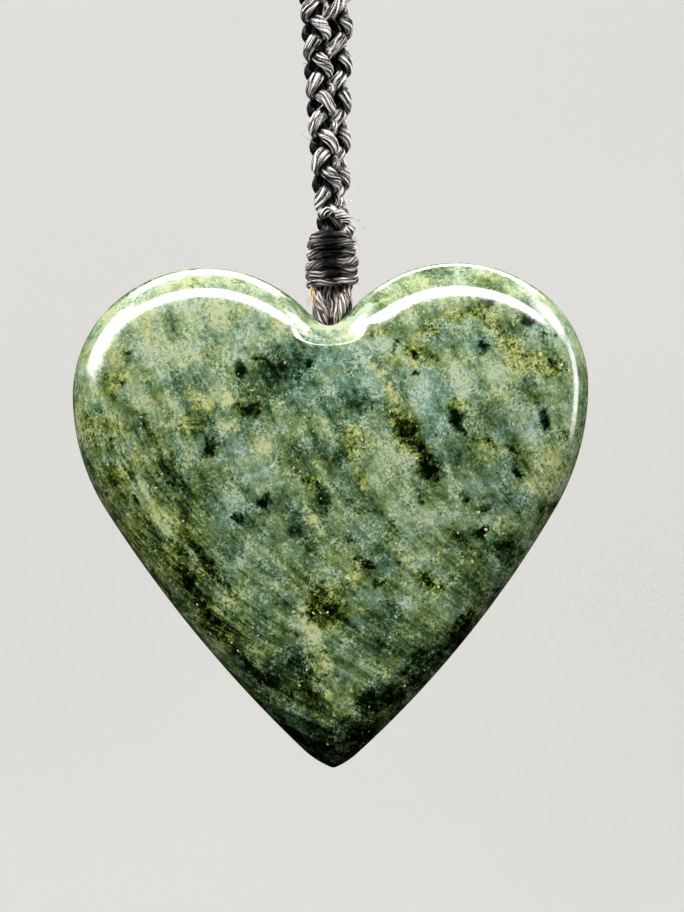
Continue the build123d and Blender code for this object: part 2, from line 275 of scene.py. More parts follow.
def front_rings():
    """Rings from the heart's rim to the middle of its front face, as places in millimetres."""
    rings = []
    inset = depth = 0.0
    rings.append((heart_ring(0.0), 0.0))
    for bend in EDGE_BENDS:
        turn = math.radians(bend[TO_TILT] - bend[FROM_TILT]) / bend[BEND_STEPS]
        for step in range(bend[BEND_STEPS]):
            tilt = math.radians(bend[FROM_TILT]) + turn * step
            inset += bend[BEND_RADIUS] * (math.sin(tilt) - math.sin(tilt + turn))
            depth += bend[BEND_RADIUS] * (math.cos(tilt + turn) - math.cos(tilt))
            rings.append((heart_ring(inset), depth))
    last = rings[-1][0]
    middle = np.array((0.0, dome_middle_z))
    for step in range(1, dome_steps + 1):
        size = 1 - (1 - smallest_dome) * step / dome_steps
        ring = middle + (last - middle) * size
        gaps = np.linalg.norm(ring[:, None, :] - last[None, :, :], axis=2).min(axis=1)
        flatness = 1 - np.minimum(gaps / dome_reach, 1)
        rings.append((ring, depth + (half_thickness - depth) * (1 - flatness**2)))
    return np.array([np.stack(np.broadcast_arrays(ring[:, 0], -out, ring[:, 1]), axis=1)
                     for ring, out in rings])


def soften(places, first, last, passes):
    """Ease the heights of some rings, so that reflections flow over them."""
    for _ in range(passes):
        before = places[first - 1:last - 1]
        here = places[first:last]
        after = places[first + 1:last + 1]
        gap_before = np.linalg.norm(here[:, :, ::2] - before[:, :, ::2], axis=2)
        gap_after = np.linalg.norm(after[:, :, ::2] - here[:, :, ::2], axis=2)
        flat = before[:, :, 1] * gap_after + after[:, :, 1] * gap_before
        flat /= gap_before + gap_after
        ringwise = (np.roll(here[:, :, 1], 1, axis=1) + np.roll(here[:, :, 1], -1, axis=1)) / 2
        here[:, :, 1] += (ease_across * (flat - here[:, :, 1])
                          + ease_round * (ringwise - here[:, :, 1]))


def extrude_through(name, rings, close):
    """Start from a circle, extrude it through rings of places, and close its last end."""
    count = len(rings[0])
    bpy.ops.object.select_all(action="DESELECT")
    bpy.ops.mesh.primitive_circle_add(vertices=count, radius=MM, fill_type="NOTHING")
    shell = bpy.context.active_object
    shell.name = name
    bpy.ops.object.mode_set(mode="EDIT")
    form = bmesh.from_edit_mesh(shell.data)
    station = form.verts.layers.int.new("station")
    for number, vert in enumerate(form.verts):
        vert[station] = number
        vert.co = Vector(rings[0][number]) * MM
    bmesh.update_edit_mesh(shell.data)
    bpy.ops.mesh.select_all(action="SELECT")
    for ring in rings[1:]:
        bpy.ops.mesh.extrude_edges_move()
        form = bmesh.from_edit_mesh(shell.data)
        station = form.verts.layers.int["station"]
        for vert in form.verts:
            if vert.select:
                vert.co = Vector(ring[vert[station]]) * MM
        bmesh.update_edit_mesh(shell.data)
    if close == "point":
        bpy.ops.mesh.merge(type="CENTER")
    if close == "face":
        bpy.ops.mesh.edge_face_add()
    bpy.ops.object.mode_set(mode="OBJECT")
    return shell


def face_outward(thing, cap=False):
    """Turn every face of a shell outward, after its open end is capped where asked."""
    only_select(thing)
    bpy.ops.object.mode_set(mode="EDIT")
    bpy.ops.mesh.select_all(action="SELECT")
    if cap:
        bpy.ops.mesh.select_non_manifold()
        bpy.ops.mesh.edge_face_add()
        bpy.ops.mesh.select_all(action="SELECT")
    bpy.ops.mesh.normals_make_consistent(inside=False)
    bpy.ops.object.mode_set(mode="OBJECT")


# The hole's direction down through the stone, the way across it, and its mouth
hole_way = Vector((0, math.sin(hole_lean), -math.cos(hole_lean)))
hole_side = Vector((0, math.cos(hole_lean), math.sin(hole_lean)))
hole_mouth = Vector((hole_x, hole_mouth_y, stone_z + notch_bottom))
drill_sides = 64
# Each row: how far along the hole, and the drill's radius there
DRILL_SHAPE = [
    (-4.0, 1.46),
    (-0.9, 1.44),
    (-0.1, 1.41),
    (0.5, hole_radius),
    (7.2, hole_radius),
    (8.3, 1.55),
    (9.4, 2.1),
    (14.0, 4.4),
]


def drill_rings():
    """The drill that cuts the cord hole, with its mouth and its exit eased."""
    rings = []
    for along, radius in DRILL_SHAPE:
        ring = []
        for number in range(drill_sides):
            angle = 2 * math.pi * number / drill_sides
            step = Vector((1, 0, 0)) * math.cos(angle) + hole_side * math.sin(angle)
            ring.append(hole_mouth + hole_way * along + step * radius)
        rings.append(ring)
    return rings


def make_stone():
    """The polished heart: a ringed front, mirrored to the back, drilled for its cords."""
    places = front_rings()
    edge_count = 1 + sum(bend[BEND_STEPS] for bend in EDGE_BENDS)
    soften(places, edge_count + 2, len(places) - 1, dome_passes)
    soften(places, edge_count - 4, edge_count + 12, edge_passes)
    places[:, :, 2] += stone_z
    stone = extrude_through("greenstone_heart", places, "point")
    apply_modifier(stone, "MIRROR", use_axis=(False, True, False), merge_threshold=1e-6)
    drill = extrude_through("drill", drill_rings(), "face")
    face_outward(drill, cap=True)
    face_outward(stone)
    apply_modifier(stone, "BOOLEAN", operation="DIFFERENCE", object=drill, solver="EXACT")
    bpy.data.objects.remove(drill)
    only_select(stone)
    bpy.ops.object.shade_smooth_by_angle(angle=smooth_below)
    return stone


# The stone's figure and a painted highlight at the notch, charted: each stroke is an oval of
# one tone, by its middle across and up from the middle of the lobes, its half length and half
# width, the turn of its length in degrees, and its strength. The last of these, or the last
# two, may be left to the usual.
USUAL_STROKE = (0, 1.0)
FIGURE = {
    "pale": [
        (-14.7, 5.7, 8.5, 4.6, 15, 0.85), (-7.9, 6.9, 4.2, 2.3, -30, 0.95),
        (-19.6, -0.1, 3.0, 5.0, 0, 0.5), (-7.5, -4.7, 2.0, 1.6, 0, 0.7),
        (5.6, -8.0, 4.4, 2.2, -78, 0.8), (7.1, -11.9, 2.6, 1.6, -20, 0.7), (7.9, -14.6, 2.4, 1.6, -35),
        (9.2, -12.8, 3.0, 2.4, 0, 0.6), (14.7, 1.6, 3.6, 2.8, -30, 0.7), (6.7, 5.2, 4.5, 1.6, -15, 0.6),
        (20.6, -6.4, 2.0, 3.0, 0, 0.55), (22.4, -1.1, 1.6, 2.6, 0, 0.6), (8.7, -20.5, 2.8, 2.0, 0, 0.6),
        (-16.7, -9.9, 6.0, 1.4, -66, 0.85), (-20.4, -5.5, 4.5, 1.0, -70, 0.5),
        (-3.7, -15.1, 1.4, 1.2, 0, 0.6), (3.9, 3.6, 3.4, 0.8, -60, 0.6),
    ],
    "bluish": [
        (1.8, 1.1, 1.9, 1.3, 0, 0.7), (4.4, -15.6, 1.5, 1.4, 0, 0.9), (3.3, -12.8, 1.9, 1.1, 0, 0.7),
        (1.8, -11.2, 0.8, 0.5, 0, 0.7), (4.0, -19.2, 1.3, 1.0, 0, 0.7), (3.0, -22.6, 1.0, 1.4, 0, 0.6),
        (5.2, 7.6, 1.6, 0.8, 0, 0.7),
    ],
    "teal": [
        (0.4, 1.8, 4.8, 3.6, 0, 0.9), (13.3, 6.4, 2.6, 1.5, -15, 0.85), (9.4, -0.1, 3.4, 2.6, -50, 0.9),
        (10.6, -4.1, 2.2, 3.2, 0, 0.8), (16.1, -8.9, 3.8, 2.2, -15, 0.85),
        (-10.6, -4.7, 3.0, 1.6, 0, 0.8), (-8.4, -10.9, 3.0, 4.5, 0, 0.6),
        (-7.4, -18.7, 5.0, 3.0, -50, 0.6), (20.9, 6.7, 2.0, 1.6, 0, 0.65),
        (18.5, -2.6, 3.0, 2.0, 0, 0.7),
    ],
    "deep": [
        (-4.3, 3.6, 3.2, 2.0, 50), (-6.0, 1.3, 2.4, 2.2, 0, 0.8), (-13.8, 1.5, 2.0, 1.4, 0, 0.7),
        (-1.9, -4.8, 1.7, 1.3), (0.9, -6.1, 0.8, 1.2), (2.8, -0.3, 1.6, 1.0, 0, 0.8),
        (-4.0, -10.8, 2.2, 0.8, -62, 0.95), (-0.5, -9.9, 0.7, 1.2, 0, 0.9),
        (-15.5, -7.9, 2.3, 1.1, -62, 0.95), (-19.4, -8.3, 2.4, 0.4, -80, 0.8),
        (-16.9, -13.0, 2.4, 0.5, -62, 0.7), (18.9, 0.6, 1.6, 1.3, 0, 0.8),
        (12.8, -13.7, 1.4, 0.9, 0, 0.8), (16.5, -14.8, 2.6, 1.4, 10, 0.65),
        (5.3, -22.1, 1.4, 2.4, 0, 0.8), (-4.4, -26.3, 2.6, 2.2), (-3.0, -32.9, 5.0, 2.2, -42, 0.9),
        (1.9, -32.9, 3.5, 2.0, 35), (13.6, -18.7, 2.5, 2.0, 0, 0.6), (-11.3, -22.1, 7.0, 1.0, -48, 0.7),
        (9.6, -25.6, 7.0, 1.5, 44, 0.8),
    ],
    "olive": [
        (4.3, 6.1, 0.9, 0.4), (8.4, 4.4, 1.2, 0.9), (10.0, 4.2, 0.9, 0.7), (12.6, 8.4, 1.8, 0.4, 5),
        (15.5, 7.2, 1.9, 0.55, -38), (17.3, 5.2, 1.5, 0.6, -55), (18.5, 3.6, 1.1, 0.9),
        (20.9, 3.2, 2.6, 1.1, -15), (9.5, 6.4, 1.2, 0.5, 20), (7.1, -3.1, 3.4, 1.1, -62),
        (-1.9, -7.9, 0.9, 0.3), (3.2, -8.0, 1.1, 0.4, -60), (12.4, -0.6, 1.0, 0.6),
        (2.4, -16.0, 0.4, 0.5), (-23.5, -2.9, 2.0, 0.5, -62), (15.0, -4.6, 1.6, 0.4, -20),
        (-0.5, -20.1, 1.9, 2.1), (-21.1, 1.8, 1.2, 0.8), (-13.8, -2.6, 1.5, 0.6, -30),
        (9.2, -17.7, 1.6, 0.35, -35),
    ],
    "dark": [
        (-11.5, -16.3, 4.4, 0.4, -52, 0.9), (-14.6, -14.4, 1.7, 0.7, -62, 0.9),
        (-12.7, -19.2, 4.6, 0.6, -57, 0.9), (-15.6, -19.3, 2.2, 0.25, -58, 0.9),
        (-9.4, -24.3, 3.6, 0.4, -47, 0.9), (-11.6, -5.0, 0.7, 1.1, -10), (-8.4, -1.2, 1.0, 0.6, -30),
        (-7.3, -0.9, 0.6, 0.8), (9.4, -6.5, 1.8, 1.3, -40), (7.9, -4.1, 2.4, 0.7, -62),
        (8.8, -9.4, 0.9, 0.4, -70), (15.0, -11.0, 1.1, 0.4, -10), (12.7, -9.7, 0.9, 0.35, -50),
        (18.2, -11.5, 0.7, 0.25, 10), (14.5, -13.2, 0.7, 0.5), (16.7, -14.8, 0.8, 0.35, 0, 0.8),
        (21.2, -10.9, 1.3, 0.3, 52), (12.6, -22.0, 1.9, 0.6, 45), (9.2, -25.6, 3.6, 0.55, 43),
        (6.5, -28.6, 1.6, 0.6, 40), (4.0, -29.4, 1.1, 1.1), (-0.9, -20.4, 1.3, 1.6),
        (-2.1, -27.5, 2.6, 0.3, -70), (2.2, -33.0, 2.2, 0.7, 38, 0.8),
        (-2.6, -33.4, 2.0, 0.4, -42, 0.7), (14.6, 8.9, 1.2, 0.3, -8), (15.0, -4.4, 0.8, 0.2, -18),
        (17.7, -4.7, 0.9, 0.25, -12), (2.1, -13.7, 0.8, 0.5, -20), (3.5, -11.1, 1.1, 0.14, -15),
        (7.2, -15.8, 1.6, 0.2, -35), (10.2, -17.7, 1.5, 0.3, -35),
    ],
    "yellow": [
        (-12.9, -0.3, 1.5, 0.7, -38), (-17.5, 2.0, 0.5, 0.4), (-17.8, 6.8, 0.35, 0.35),
        (-15.8, 4.4, 0.25, 0.4), (-7.3, 3.5, 0.4, 0.25), (2.0, 6.0, 0.4, 0.6),
        (5.0, 2.3, 3.0, 0.3, -58), (6.2, 0.2, 1.5, 0.5, -50), (2.2, -3.2, 0.7, 0.8),
        (2.3, -4.7, 0.5, 1.3), (3.4, -8.2, 0.25, 0.9, 15), (-6.2, -4.5, 0.6, 0.5),
        (-0.6, -2.0, 0.4, 0.15, -20), (2.0, -17.4, 0.55, 1.7), (15.8, -5.8, 0.5, 0.14, -38),
        (18.0, 5.2, 1.0, 0.2), (9.7, -17.1, 2.0, 0.18, -35), (6.5, -15.0, 1.6, 0.16, -35),
        (15.5, 6.2, 1.2, 0.3, -30), (-2.3, -8.5, 0.9, 0.15), (-19.5, -3.3, 0.2, 0.35),
        (-22.9, 0.6, 0.2, 1.2), (2.2, -30.7, 1.7, 0.2, -18),
    ],
    "cream": [
        (-10.2, -0.1, 0.9, 0.9), (-9.9, -2.9, 1.1, 0.6, 10), (-1.6, -11.7, 2.1, 0.55, -58),
        (-1.3, -24.4, 3.0, 1.1, -68), (-2.5, -21.6, 1.6, 0.8, -70), (-0.6, -28.5, 1.8, 0.5, -70),
        (-1.2, -13.2, 0.6, 0.35), (-4.1, -6.9, 0.4, 0.3),
    ],
    # painted highlight: a pale band along the notch's rim, under the cords, where light is reflected
    "painted_notch_highlight": [
        (0.2, 7.0, 1.9, 0.5), (3.0, 7.9, 2.2, 0.45, 32), (-2.7, 6.9, 1.3, 0.3, -42),
    ],
    "black": [
        (-8.6, 3.0, 0.5, 0.75, 10), (-6.9, 3.7, 0.35, 0.25), (-2.3, 3.0, 0.35, 0.45),
        (-20.0, 4.0, 0.25, 0.25), (19.0, 7.5, 0.5, 0.42), (20.7, 5.8, 0.8, 0.16, 8),
        (14.5, 4.9, 0.35, 0.3), (6.0, 4.7, 0.25, 0.45), (8.2, 2.5, 0.35, 0.35), (7.9, 4.3, 0.45, 0.35),
        (12.2, -2.1, 0.65, 0.75), (13.0, -3.1, 0.6, 0.25, -50), (20.4, -1.7, 0.4, 0.5),
        (20.3, -2.4, 0.5, 0.45), (-6.2, -10.3, 0.55, 0.5), (-8.9, -11.6, 0.5, 0.45),
        (3.3, -16.7, 0.5, 0.55), (4.9, -17.7, 0.5, 0.75, -60), (6.25, -12.3, 0.25, 0.25),
        (18.0, -7.3, 0.4, 0.5), (9.0, -6.4, 0.6, 0.8, -20, 0.6), (-15.7, -8.5, 0.25, 0.22),
        (-18.9, -9.5, 0.28, 0.28), (-21.9, -9.3, 0.2, 0.2), (-20.9, -4.2, 0.2, 0.2),
        (-6.2, -27.4, 0.35, 0.3), (-3.9, -29.1, 0.3, 0.3), (14.7, -13.1, 0.35, 0.3),
    ],
    "rust": [
        (10.6, -14.5, 0.3, 0.45, 20),
    ],
    "fibrous": [
        (-17.5, -10.5, 9.5, 4.0, -62), (-11.0, -19.5, 8.0, 3.0, -50), (21.0, -6.0, 4.0, 2.5, 60, 0.8),
    ],
}
# What each tone does to the ground: how much lighter it makes it, how much cooler it makes
# it, how wide its edge is, as a share of the stroke, and how flaky it is.
LIGHTER, COOLER, EDGE, FLAKY = range(4)
TONES = {
    "pale": (0.20, 0.1, 1.0, 0.1),
    "bluish": (0.06, 0.7, 0.8, 0.0),
    "teal": (0.05, 0.6, 0.9, 0.0),
    "deep": (-0.21, 0.3, 0.9, 0.2),
    "olive": (-0.06, -1.0, 0.8, 1.0),
    "dark": (-0.33, -0.3, 0.8, 0.9),
    "yellow": (0.19, -1.0, 1.1, 1.0),
    "cream": (0.24, -0.4, 0.9, 1.0),
    # painted highlight along the notch's rim
    "painted_notch_highlight": (0.40, 0.2, 0.7, 0.3),
    "black": (-0.50, 0.2, 0.8, 0.1),
    "rust": (0.0, -1.6, 0.5, 0.5),
    "fibrous": (-0.05, -0.45, 1.0, 0.3),
}
darkest_figure = -0.38
figure_contrast = 1.15
# painted light: how much paler the upper rim is painted, as where light glows through the stone's edge
painted_rim_light = 0.13
# The ground's lightness down the stone, by height from the middle of the lobes: partly the
# stone's own tone, partly painted light from above, so darker towards the tip
GROUND_HEIGHTS = (-36.0, -30.0, -20.0, -8.0, 4.0, 12.0)
GROUND_TONE_AND_TOP_LIGHT = (0.38, 0.45, 0.54, 0.55, 0.60, 0.62)


def tone_field(strokes, edge, right, up):
    """How fully each place lies in one tone's strokes, from 0 to each stroke's strength."""
    field = np.zeros(len(right))
    for stroke in strokes:
        x, z, half_length, half_width, turn, strength = stroke + USUAL_STROKE[len(stroke) - 4:]
        turn = math.radians(turn)
        beside = right - x
        above = up - z
        along = (beside * math.cos(turn) + above * math.sin(turn)) / half_length
        aside = (above * math.cos(turn) - beside * math.sin(turn)) / half_width
        reach = np.sqrt(along**2 + aside**2)
        field = np.maximum(field, strength * (1 - smooth_step(1 - edge / 2, 1 + edge / 2, reach)))
    return field


def tone_fields(right, up):
    """The lightness, coolness, flakiness and fibre of the figure at each place."""
    light, cool, flaky = np.zeros((3, len(right)))
    for tone, strokes in FIGURE.items():
        field = tone_field(strokes, TONES[tone][EDGE], right, up)
        if tone == "black":
            light = np.maximum(light, darkest_figure)
        if tone == "fibrous":
            fibre = field
        light += figure_contrast * TONES[tone][LIGHTER] * field
        cool += TONES[tone][COOLER] * field
        flaky = np.maximum(flaky, TONES[tone][FLAKY] * field)
    return np.stack((light, cool, flaky, fibre))


def write_field(mesh, name, values):
    """Keep a number, or a vector of three, for each vertex of a mesh."""
    vector = values.shape[-1] == 3
    layer = mesh.attributes.new(name, "FLOAT_VECTOR" if vector else "FLOAT", "POINT")
    layer.data.foreach_set("vector" if vector else "value", values.astype(np.float32).ravel())


def chart_figure(stone):
    """Write the figure's fields on the stone's vertices, with another layout on the back."""
    count = len(stone.data.vertices)
    places = np.zeros(count * 3)
    stone.data.vertices.foreach_get("co", places)
    places = places.reshape(-1, 3) / MM
    places[:, 2] -= stone_z
    wander, ripple, crumple = [
        np.array([noise.noise_vector(Vector(place) * scale) for place in places])
        for scale in (0.4, 1.3, 3.1)
    ]
    shift = 0.7 * wander + 0.45 * ripple + 0.3 * crumple
    right = places[:, 0] + shift[:, 0]
    up = places[:, 2] + shift[:, 2]
    behind = smooth_step(-1.0, 1.4, places[:, 1])
    front = tone_fields(right, up)
    # the back has the same figure turned about, moved, and made a little larger
    back = tone_fields(1.6 - 0.93 * right + 1.6 * wander[:, 1], 0.94 * up - 1.5 + 1.6 * wander[:, 2])
    light, cool, flaky, fibre = front * (1 - behind) + back * behind
    # the ground's own tone, with painted light from above
    light += np.interp(places[:, 2], GROUND_HEIGHTS, GROUND_TONE_AND_TOP_LIGHT)
    # painted light: paler towards the rim, on the upper part of the stone only
    lit_rim = smooth_step(3.9, 2.4, np.abs(places[:, 1])) * smooth_step(-12.0, 4.0, places[:, 2])
    light += painted_rim_light * lit_rim
    for name, values in (("light", light), ("cool", cool), ("flaky", flaky), ("fibre", fibre)):
        write_field(stone.data, name, values)
    # across the fibres, through the stone, and along the fibres, which bend lower down
    across_fibres = places[:, 0] + 0.43 * places[:, 2] - 0.032 * np.minimum(places[:, 2] + 5, 0)**2
    flow = np.stack((across_fibres + 0.14 * ripple[:, 0], places[:, 1], places[:, 2]), axis=1)
    write_field(stone.data, "flow", flow)


# Materials

def paint(red, green, blue):
    """A colour named by its screen values, from 0 to 255, as the renderer's own numbers."""
    channels = []
    for value in (red, green, blue):
        share = value / 255
        channels.append(share / 12.92 if share <= 0.04045 else ((share + 0.055) / 1.055) ** 2.4)
    return (*channels, 1.0)


class Nodes:
    """A node tree, with short ways to add and join its nodes."""

    def __init__(self, tree):
        self.tree = tree

    def feed(self, target, value):
        if isinstance(value, bpy.types.NodeSocket):
            self.tree.links.new(value, target)
        else:
            target.default_value = value

    def node(self, kind, sockets=(), **settings):
        """A new node with its settings, and its sockets fed by name or number."""
        made = self.tree.nodes.new(kind)
        for name, value in settings.items():
            setattr(made, name, value)
        for name, value in dict(sockets).items():
            self.feed(made.inputs[name], value)
        return made

    def math(self, operation, *values):
        return self.node("ShaderNodeMath", enumerate(values), operation=operation).outputs[0]

    def add(self, base, value, share=1.0):
        """The base and a share of the value."""
        return self.math("MULTIPLY_ADD", value, share, base)

    def swing(self, base, value, share):
        """The base, and a share of how far the value stands from its middle."""
        return self.add(base, self.math("SUBTRACT", value, 0.5), share)

    def vector(self, operation, *values):
        made = self.node("ShaderNodeVectorMath", enumerate(values), operation=operation)
        return made.outputs[0]

    def noise(self, vector, scale, detail, roughness=0.6, distortion=0.0):
        sockets = {"Vector": vector, "Scale": scale, "Detail": detail, "Roughness": roughness,
                   "Distortion": distortion}
        return self.node("ShaderNodeTexNoise", sockets).outputs

    def grain(self, *settings, **named):
        return self.noise(*settings, **named)["Fac"]

    def cells(self, vector, scale):
        return self.node("ShaderNodeTexVoronoi", {"Vector": vector, "Scale": scale}).outputs

    def ramp(self, value, low, high):
        """0 where the value is low, 1 where it is high, and smooth between."""
        sockets = {"Value": value, "From Min": low, "From Max": high}
        made = self.node("ShaderNodeMapRange", sockets, interpolation_type="SMOOTHSTEP")
        return made.outputs["Result"]

    def mix(self, share, below, above, blend="MIX"):
        sockets = {0: share, 6: below, 7: above}
        made = self.node("ShaderNodeMix", sockets, data_type="RGBA", blend_type=blend)
        return made.outputs[2]

    def attribute(self, name):
        return self.node("ShaderNodeAttribute", attribute_name=name).outputs


class Finish(Nodes):
    """A material with its principled shader."""

    def __init__(self, name):
        self.material = bpy.data.materials.new(name)
        self.material.use_nodes = True
        super().__init__(self.material.node_tree)
        self.shader = self.tree.nodes["Principled BSDF"].inputs

    def shade(self, **values):
        """Feed the shader's sockets, each named with _ for its spaces."""
        for name, value in values.items():
            self.feed(self.shader[name.replace("_", " ")], value)

    def bump(self, height, strength, distance):
        sockets = {"Height": height, "Strength": strength, "Distance": distance}
        self.shade(Normal=self.node("ShaderNodeBump", sockets).outputs["Normal"])


# The stone's shades from its darkest to its palest
SHADES = [
    (0.00, paint(5, 11, 2)),
    (0.12, paint(18, 30, 11)),
    (0.28, paint(53, 73, 41)),
    (0.45, paint(92, 116, 76)),
    (0.60, paint(124, 149, 109)),
    (0.76, paint(162, 184, 146)),
    (1.00, paint(214, 225, 190)),
]
WARM_TINT = (1.18, 1.0, 0.30, 1.0)
COOL_TINT = (0.76, 1.0, 1.42, 1.0)
stone_albedo = 0.44  # the shades above are as seen, and this share of them is reflected


def greenstone():
    """Cloudy green stone: mottled ground, charted tones, fibres, flecks, dark specks, and pale specks
    painted as glints.
    """
    look = Finish("greenstone")
    place = look.vector("MULTIPLY", look.node("ShaderNodeTexCoord").outputs["Object"],
                        (1 / MM,) * 3)
    mottle = look.grain(place, 0.30, 6.0, 0.78)
    stir = look.noise(place, 2.4, 3.0, 0.5)["Color"]
    stirred = look.vector("MULTIPLY_ADD", stir, (0.55,) * 3, place)

    flakes = [look.math("SUBTRACT", look.cells(stirred, scale)["Color"], 0.5)
              for scale in (1.8, 4.0)]
    flakes = look.add(look.math("MULTIPLY", flakes[1], 0.55), flakes[0], 0.45)
    patches = look.ramp(look.grain(place, 0.55, 3.0), 0.46, 0.66)
    flaky = look.add(look.attribute("flaky")["Fac"], patches, 0.35)
    flaky = look.add(0.12, flaky, 0.95)

    fine = look.grain(stirred, 3.7, 2.0, 0.9)
    crisp = look.ramp(look.grain(place, 0.6, 4.0, 0.75), 0.45, 0.60)
    flow = look.attribute("flow")["Vector"]
    threads = look.grain(look.vector("MULTIPLY", flow, (2.9, 0.8, 0.28)), 1.0, 4.0, 0.85)
    sweep = look.grain(look.vector("MULTIPLY", flow, (0.62, 0.5, 0.16)), 1.0, 5.0, 0.75)
    fibrous = look.add(0.1, look.attribute("fibre")["Fac"], 0.9)
    threads = look.math("MULTIPLY", look.math("SUBTRACT", threads, 0.5), fibrous)

    shade = look.swing(look.attribute("light")["Fac"], mottle, 1.9)
    shade = look.swing(shade, sweep, 1.2)
    shade = look.swing(shade, fine, look.add(0.3, crisp, 2.0))
    shade = look.add(shade, flakes, flaky)
    shade = look.add(shade, threads, 1.5)
    for scale, width, strength in ((0.75, 0.02, 0.10), (1.5, 0.035, 0.12), (2.9, 0.05, 0.12)):
        veins = look.grain(place, scale, 3.0, 0.6, 1.0)
        veins = look.math("ABSOLUTE", look.math("SUBTRACT", veins, 0.5))
        shade = look.add(shade, look.ramp(veins, width, 0.0), strength)
    shade = look.math("SUBTRACT", shade, 0.05)

    shades = look.node("ShaderNodeValToRGB", {"Fac": shade})
    stops = shades.color_ramp.elements
    for number, (where, colour) in enumerate(SHADES):
        stop = stops[number] if number < 2 else stops.new(where)
        stop.position = where
        stop.color = colour
    charted = look.math("MULTIPLY", look.attribute("cool")["Fac"], look.add(0.6, flakes, 1.8))
    cool = look.add(charted, look.math("MULTIPLY", flakes, flaky), -1.0)
    cool = look.swing(cool, fine, 0.9)
    cool = look.swing(cool, look.grain(place, 0.45, 4.0, 0.7), 2.0)
    tint = look.mix(look.math("ADD", cool, 0.47), WARM_TINT, COOL_TINT)
    colour = look.mix(look.add(1.10, shade, -0.55), shades.outputs["Color"], tint, "MULTIPLY")

    for scale, size, rarity, share, tone in (
        (0.95, 0.15, 0.88, 0.8, SHADES[0][1]),
        # pale inclusions painted near white, as painted glints
        (1.50, 0.22, 0.80, 1.0, paint(248, 250, 214)),
    ):
        cells = look.cells(stirred, scale)
        chosen = look.node("ShaderNodeSeparateColor", {0: cells["Color"]})
        speck = look.math("MULTIPLY", look.ramp(cells["Distance"], size, size * 0.6),
                          look.ramp(chosen.outputs[0], rarity, rarity + 0.02))
        clustered = look.math("MINIMUM", look.add(0.25, flaky, 1.2), share)
        colour = look.mix(look.math("MULTIPLY", speck, clustered), colour, tone)
    colour = look.mix(1.0, colour, (stone_albedo,) * 3 + (1.0,), "MULTIPLY")

    look.shade(Base_Color=colour, Roughness=look.add(0.07, fine, 0.10), IOR=1.62,
               Specular_IOR_Level=1.0)
    look.bump(look.math("ADD", mottle, fine), 0.05, 0.00006)
    return look.material


def fibre_group():
    """Streaks that run along a strand, from the strand's own straightened coordinates."""
    group = bpy.data.node_groups.new("laid_fibres", "ShaderNodeTree")
    for name, way, kind in (("Along", "INPUT", "Vector"), ("Fineness", "INPUT", "Float"),
                            ("Streak", "OUTPUT", "Float"), ("Height", "OUTPUT", "Float")):
        group.interface.new_socket(name, in_out=way, socket_type=f"NodeSocket{kind}")
    look = Nodes(group)
    given = look.node("NodeGroupInput").outputs
    result = look.node("NodeGroupOutput").inputs
    coarse, thin = [
        look.grain(look.vector("MULTIPLY", given["Along"], scales), given["Fineness"], 3.0)
        for scales in ((3.4, 3.4, 0.50), (8.0, 8.0, 0.80))
    ]
    height = look.add(look.math("MULTIPLY", thin, 0.38), coarse, 0.62)
    look.feed(result["Streak"], look.ramp(height, 0.44, 0.56))
    look.feed(result["Height"], height)
    return group


laid_fibres = fibre_group()


def waxed(name, dark, light, fineness, shine):
    """Waxed black fibre: painted shade between fibres, pale crests partly worn, partly painted
    highlight.
    """
    look = Finish(name)
    sockets = {"Along": look.attribute("fibre")["Vector"], "Fineness": fineness}
    fibres = look.node("ShaderNodeGroup", sockets, node_tree=laid_fibres)
    streak = fibres.outputs["Streak"]
    worn_and_lit = look.math("MULTIPLY", streak, look.attribute("crest_wear_and_light")["Fac"])
    look.shade(Base_Color=look.mix(worn_and_lit, dark, light), Roughness=look.add(0.45, streak, 0.16),
               Specular_IOR_Level=shine)
    look.bump(fibres.outputs["Height"], 0.9, 0.00012)
    return look.material


# Cords: tubes laid along a line, with ridged plies

def nurbs_line(points, per_span=48):
    """Points read from one smooth open spline through chosen control points."""
    curve = bpy.data.curves.new("route", "CURVE")
    curve.dimensions = "3D"
    curve.resolution_u = per_span
    spline = curve.splines.new("NURBS")
    spline.points.add(len(points) - 1)
    for control, place in zip(spline.points, points):
        control.co = (*place, 1.0)
    spline.order_u = 3
    spline.use_endpoint_u = True
    holder = bpy.data.objects.new("route", curve)
    bpy.context.scene.collection.objects.link(holder)
    line = bpy.data.meshes.new_from_object(holder)
    places = [Vector(vert.co) for vert in line.vertices]
    bpy.data.objects.remove(holder)
    bpy.data.curves.remove(curve)
    bpy.data.meshes.remove(line)
    return places


def even_line(points, step):
    """The same line as places an even step apart."""
    places = np.array(points)
    travel = travelled(places)
    count = max(2, round(travel[-1] / step) + 1)
    wanted = np.linspace(0, travel[-1], count)
    return np.stack([np.interp(wanted, travel, places[:, axis]) for axis in range(3)], axis=1)


def unit(vectors):
    return vectors / np.linalg.norm(vectors, axis=1, keepdims=True)


def travelled(line):
    """How far along the line each of its places is."""
    gaps = np.linalg.norm(np.diff(line, axis=0), axis=1)
    return np.concatenate(([0.0], np.cumsum(gaps)))


def noise_row(x, y, z, shift=(0, 0, 0)):
    """Noise read at many places, whose coordinates are rows or single numbers."""
    shift = Vector(shift)
    return np.array([noise.noise(Vector(place) + shift) for place in np.broadcast(x, y, z)])


PLIES, PLY_DEPTH, PLY_TURN, SIDES = range(4)
ply_sway = 2.2  # radians by which the plies wander round a tube
tube_swell = 0.10
valley_sharpness = 1.5
crest_narrowness = 1.2


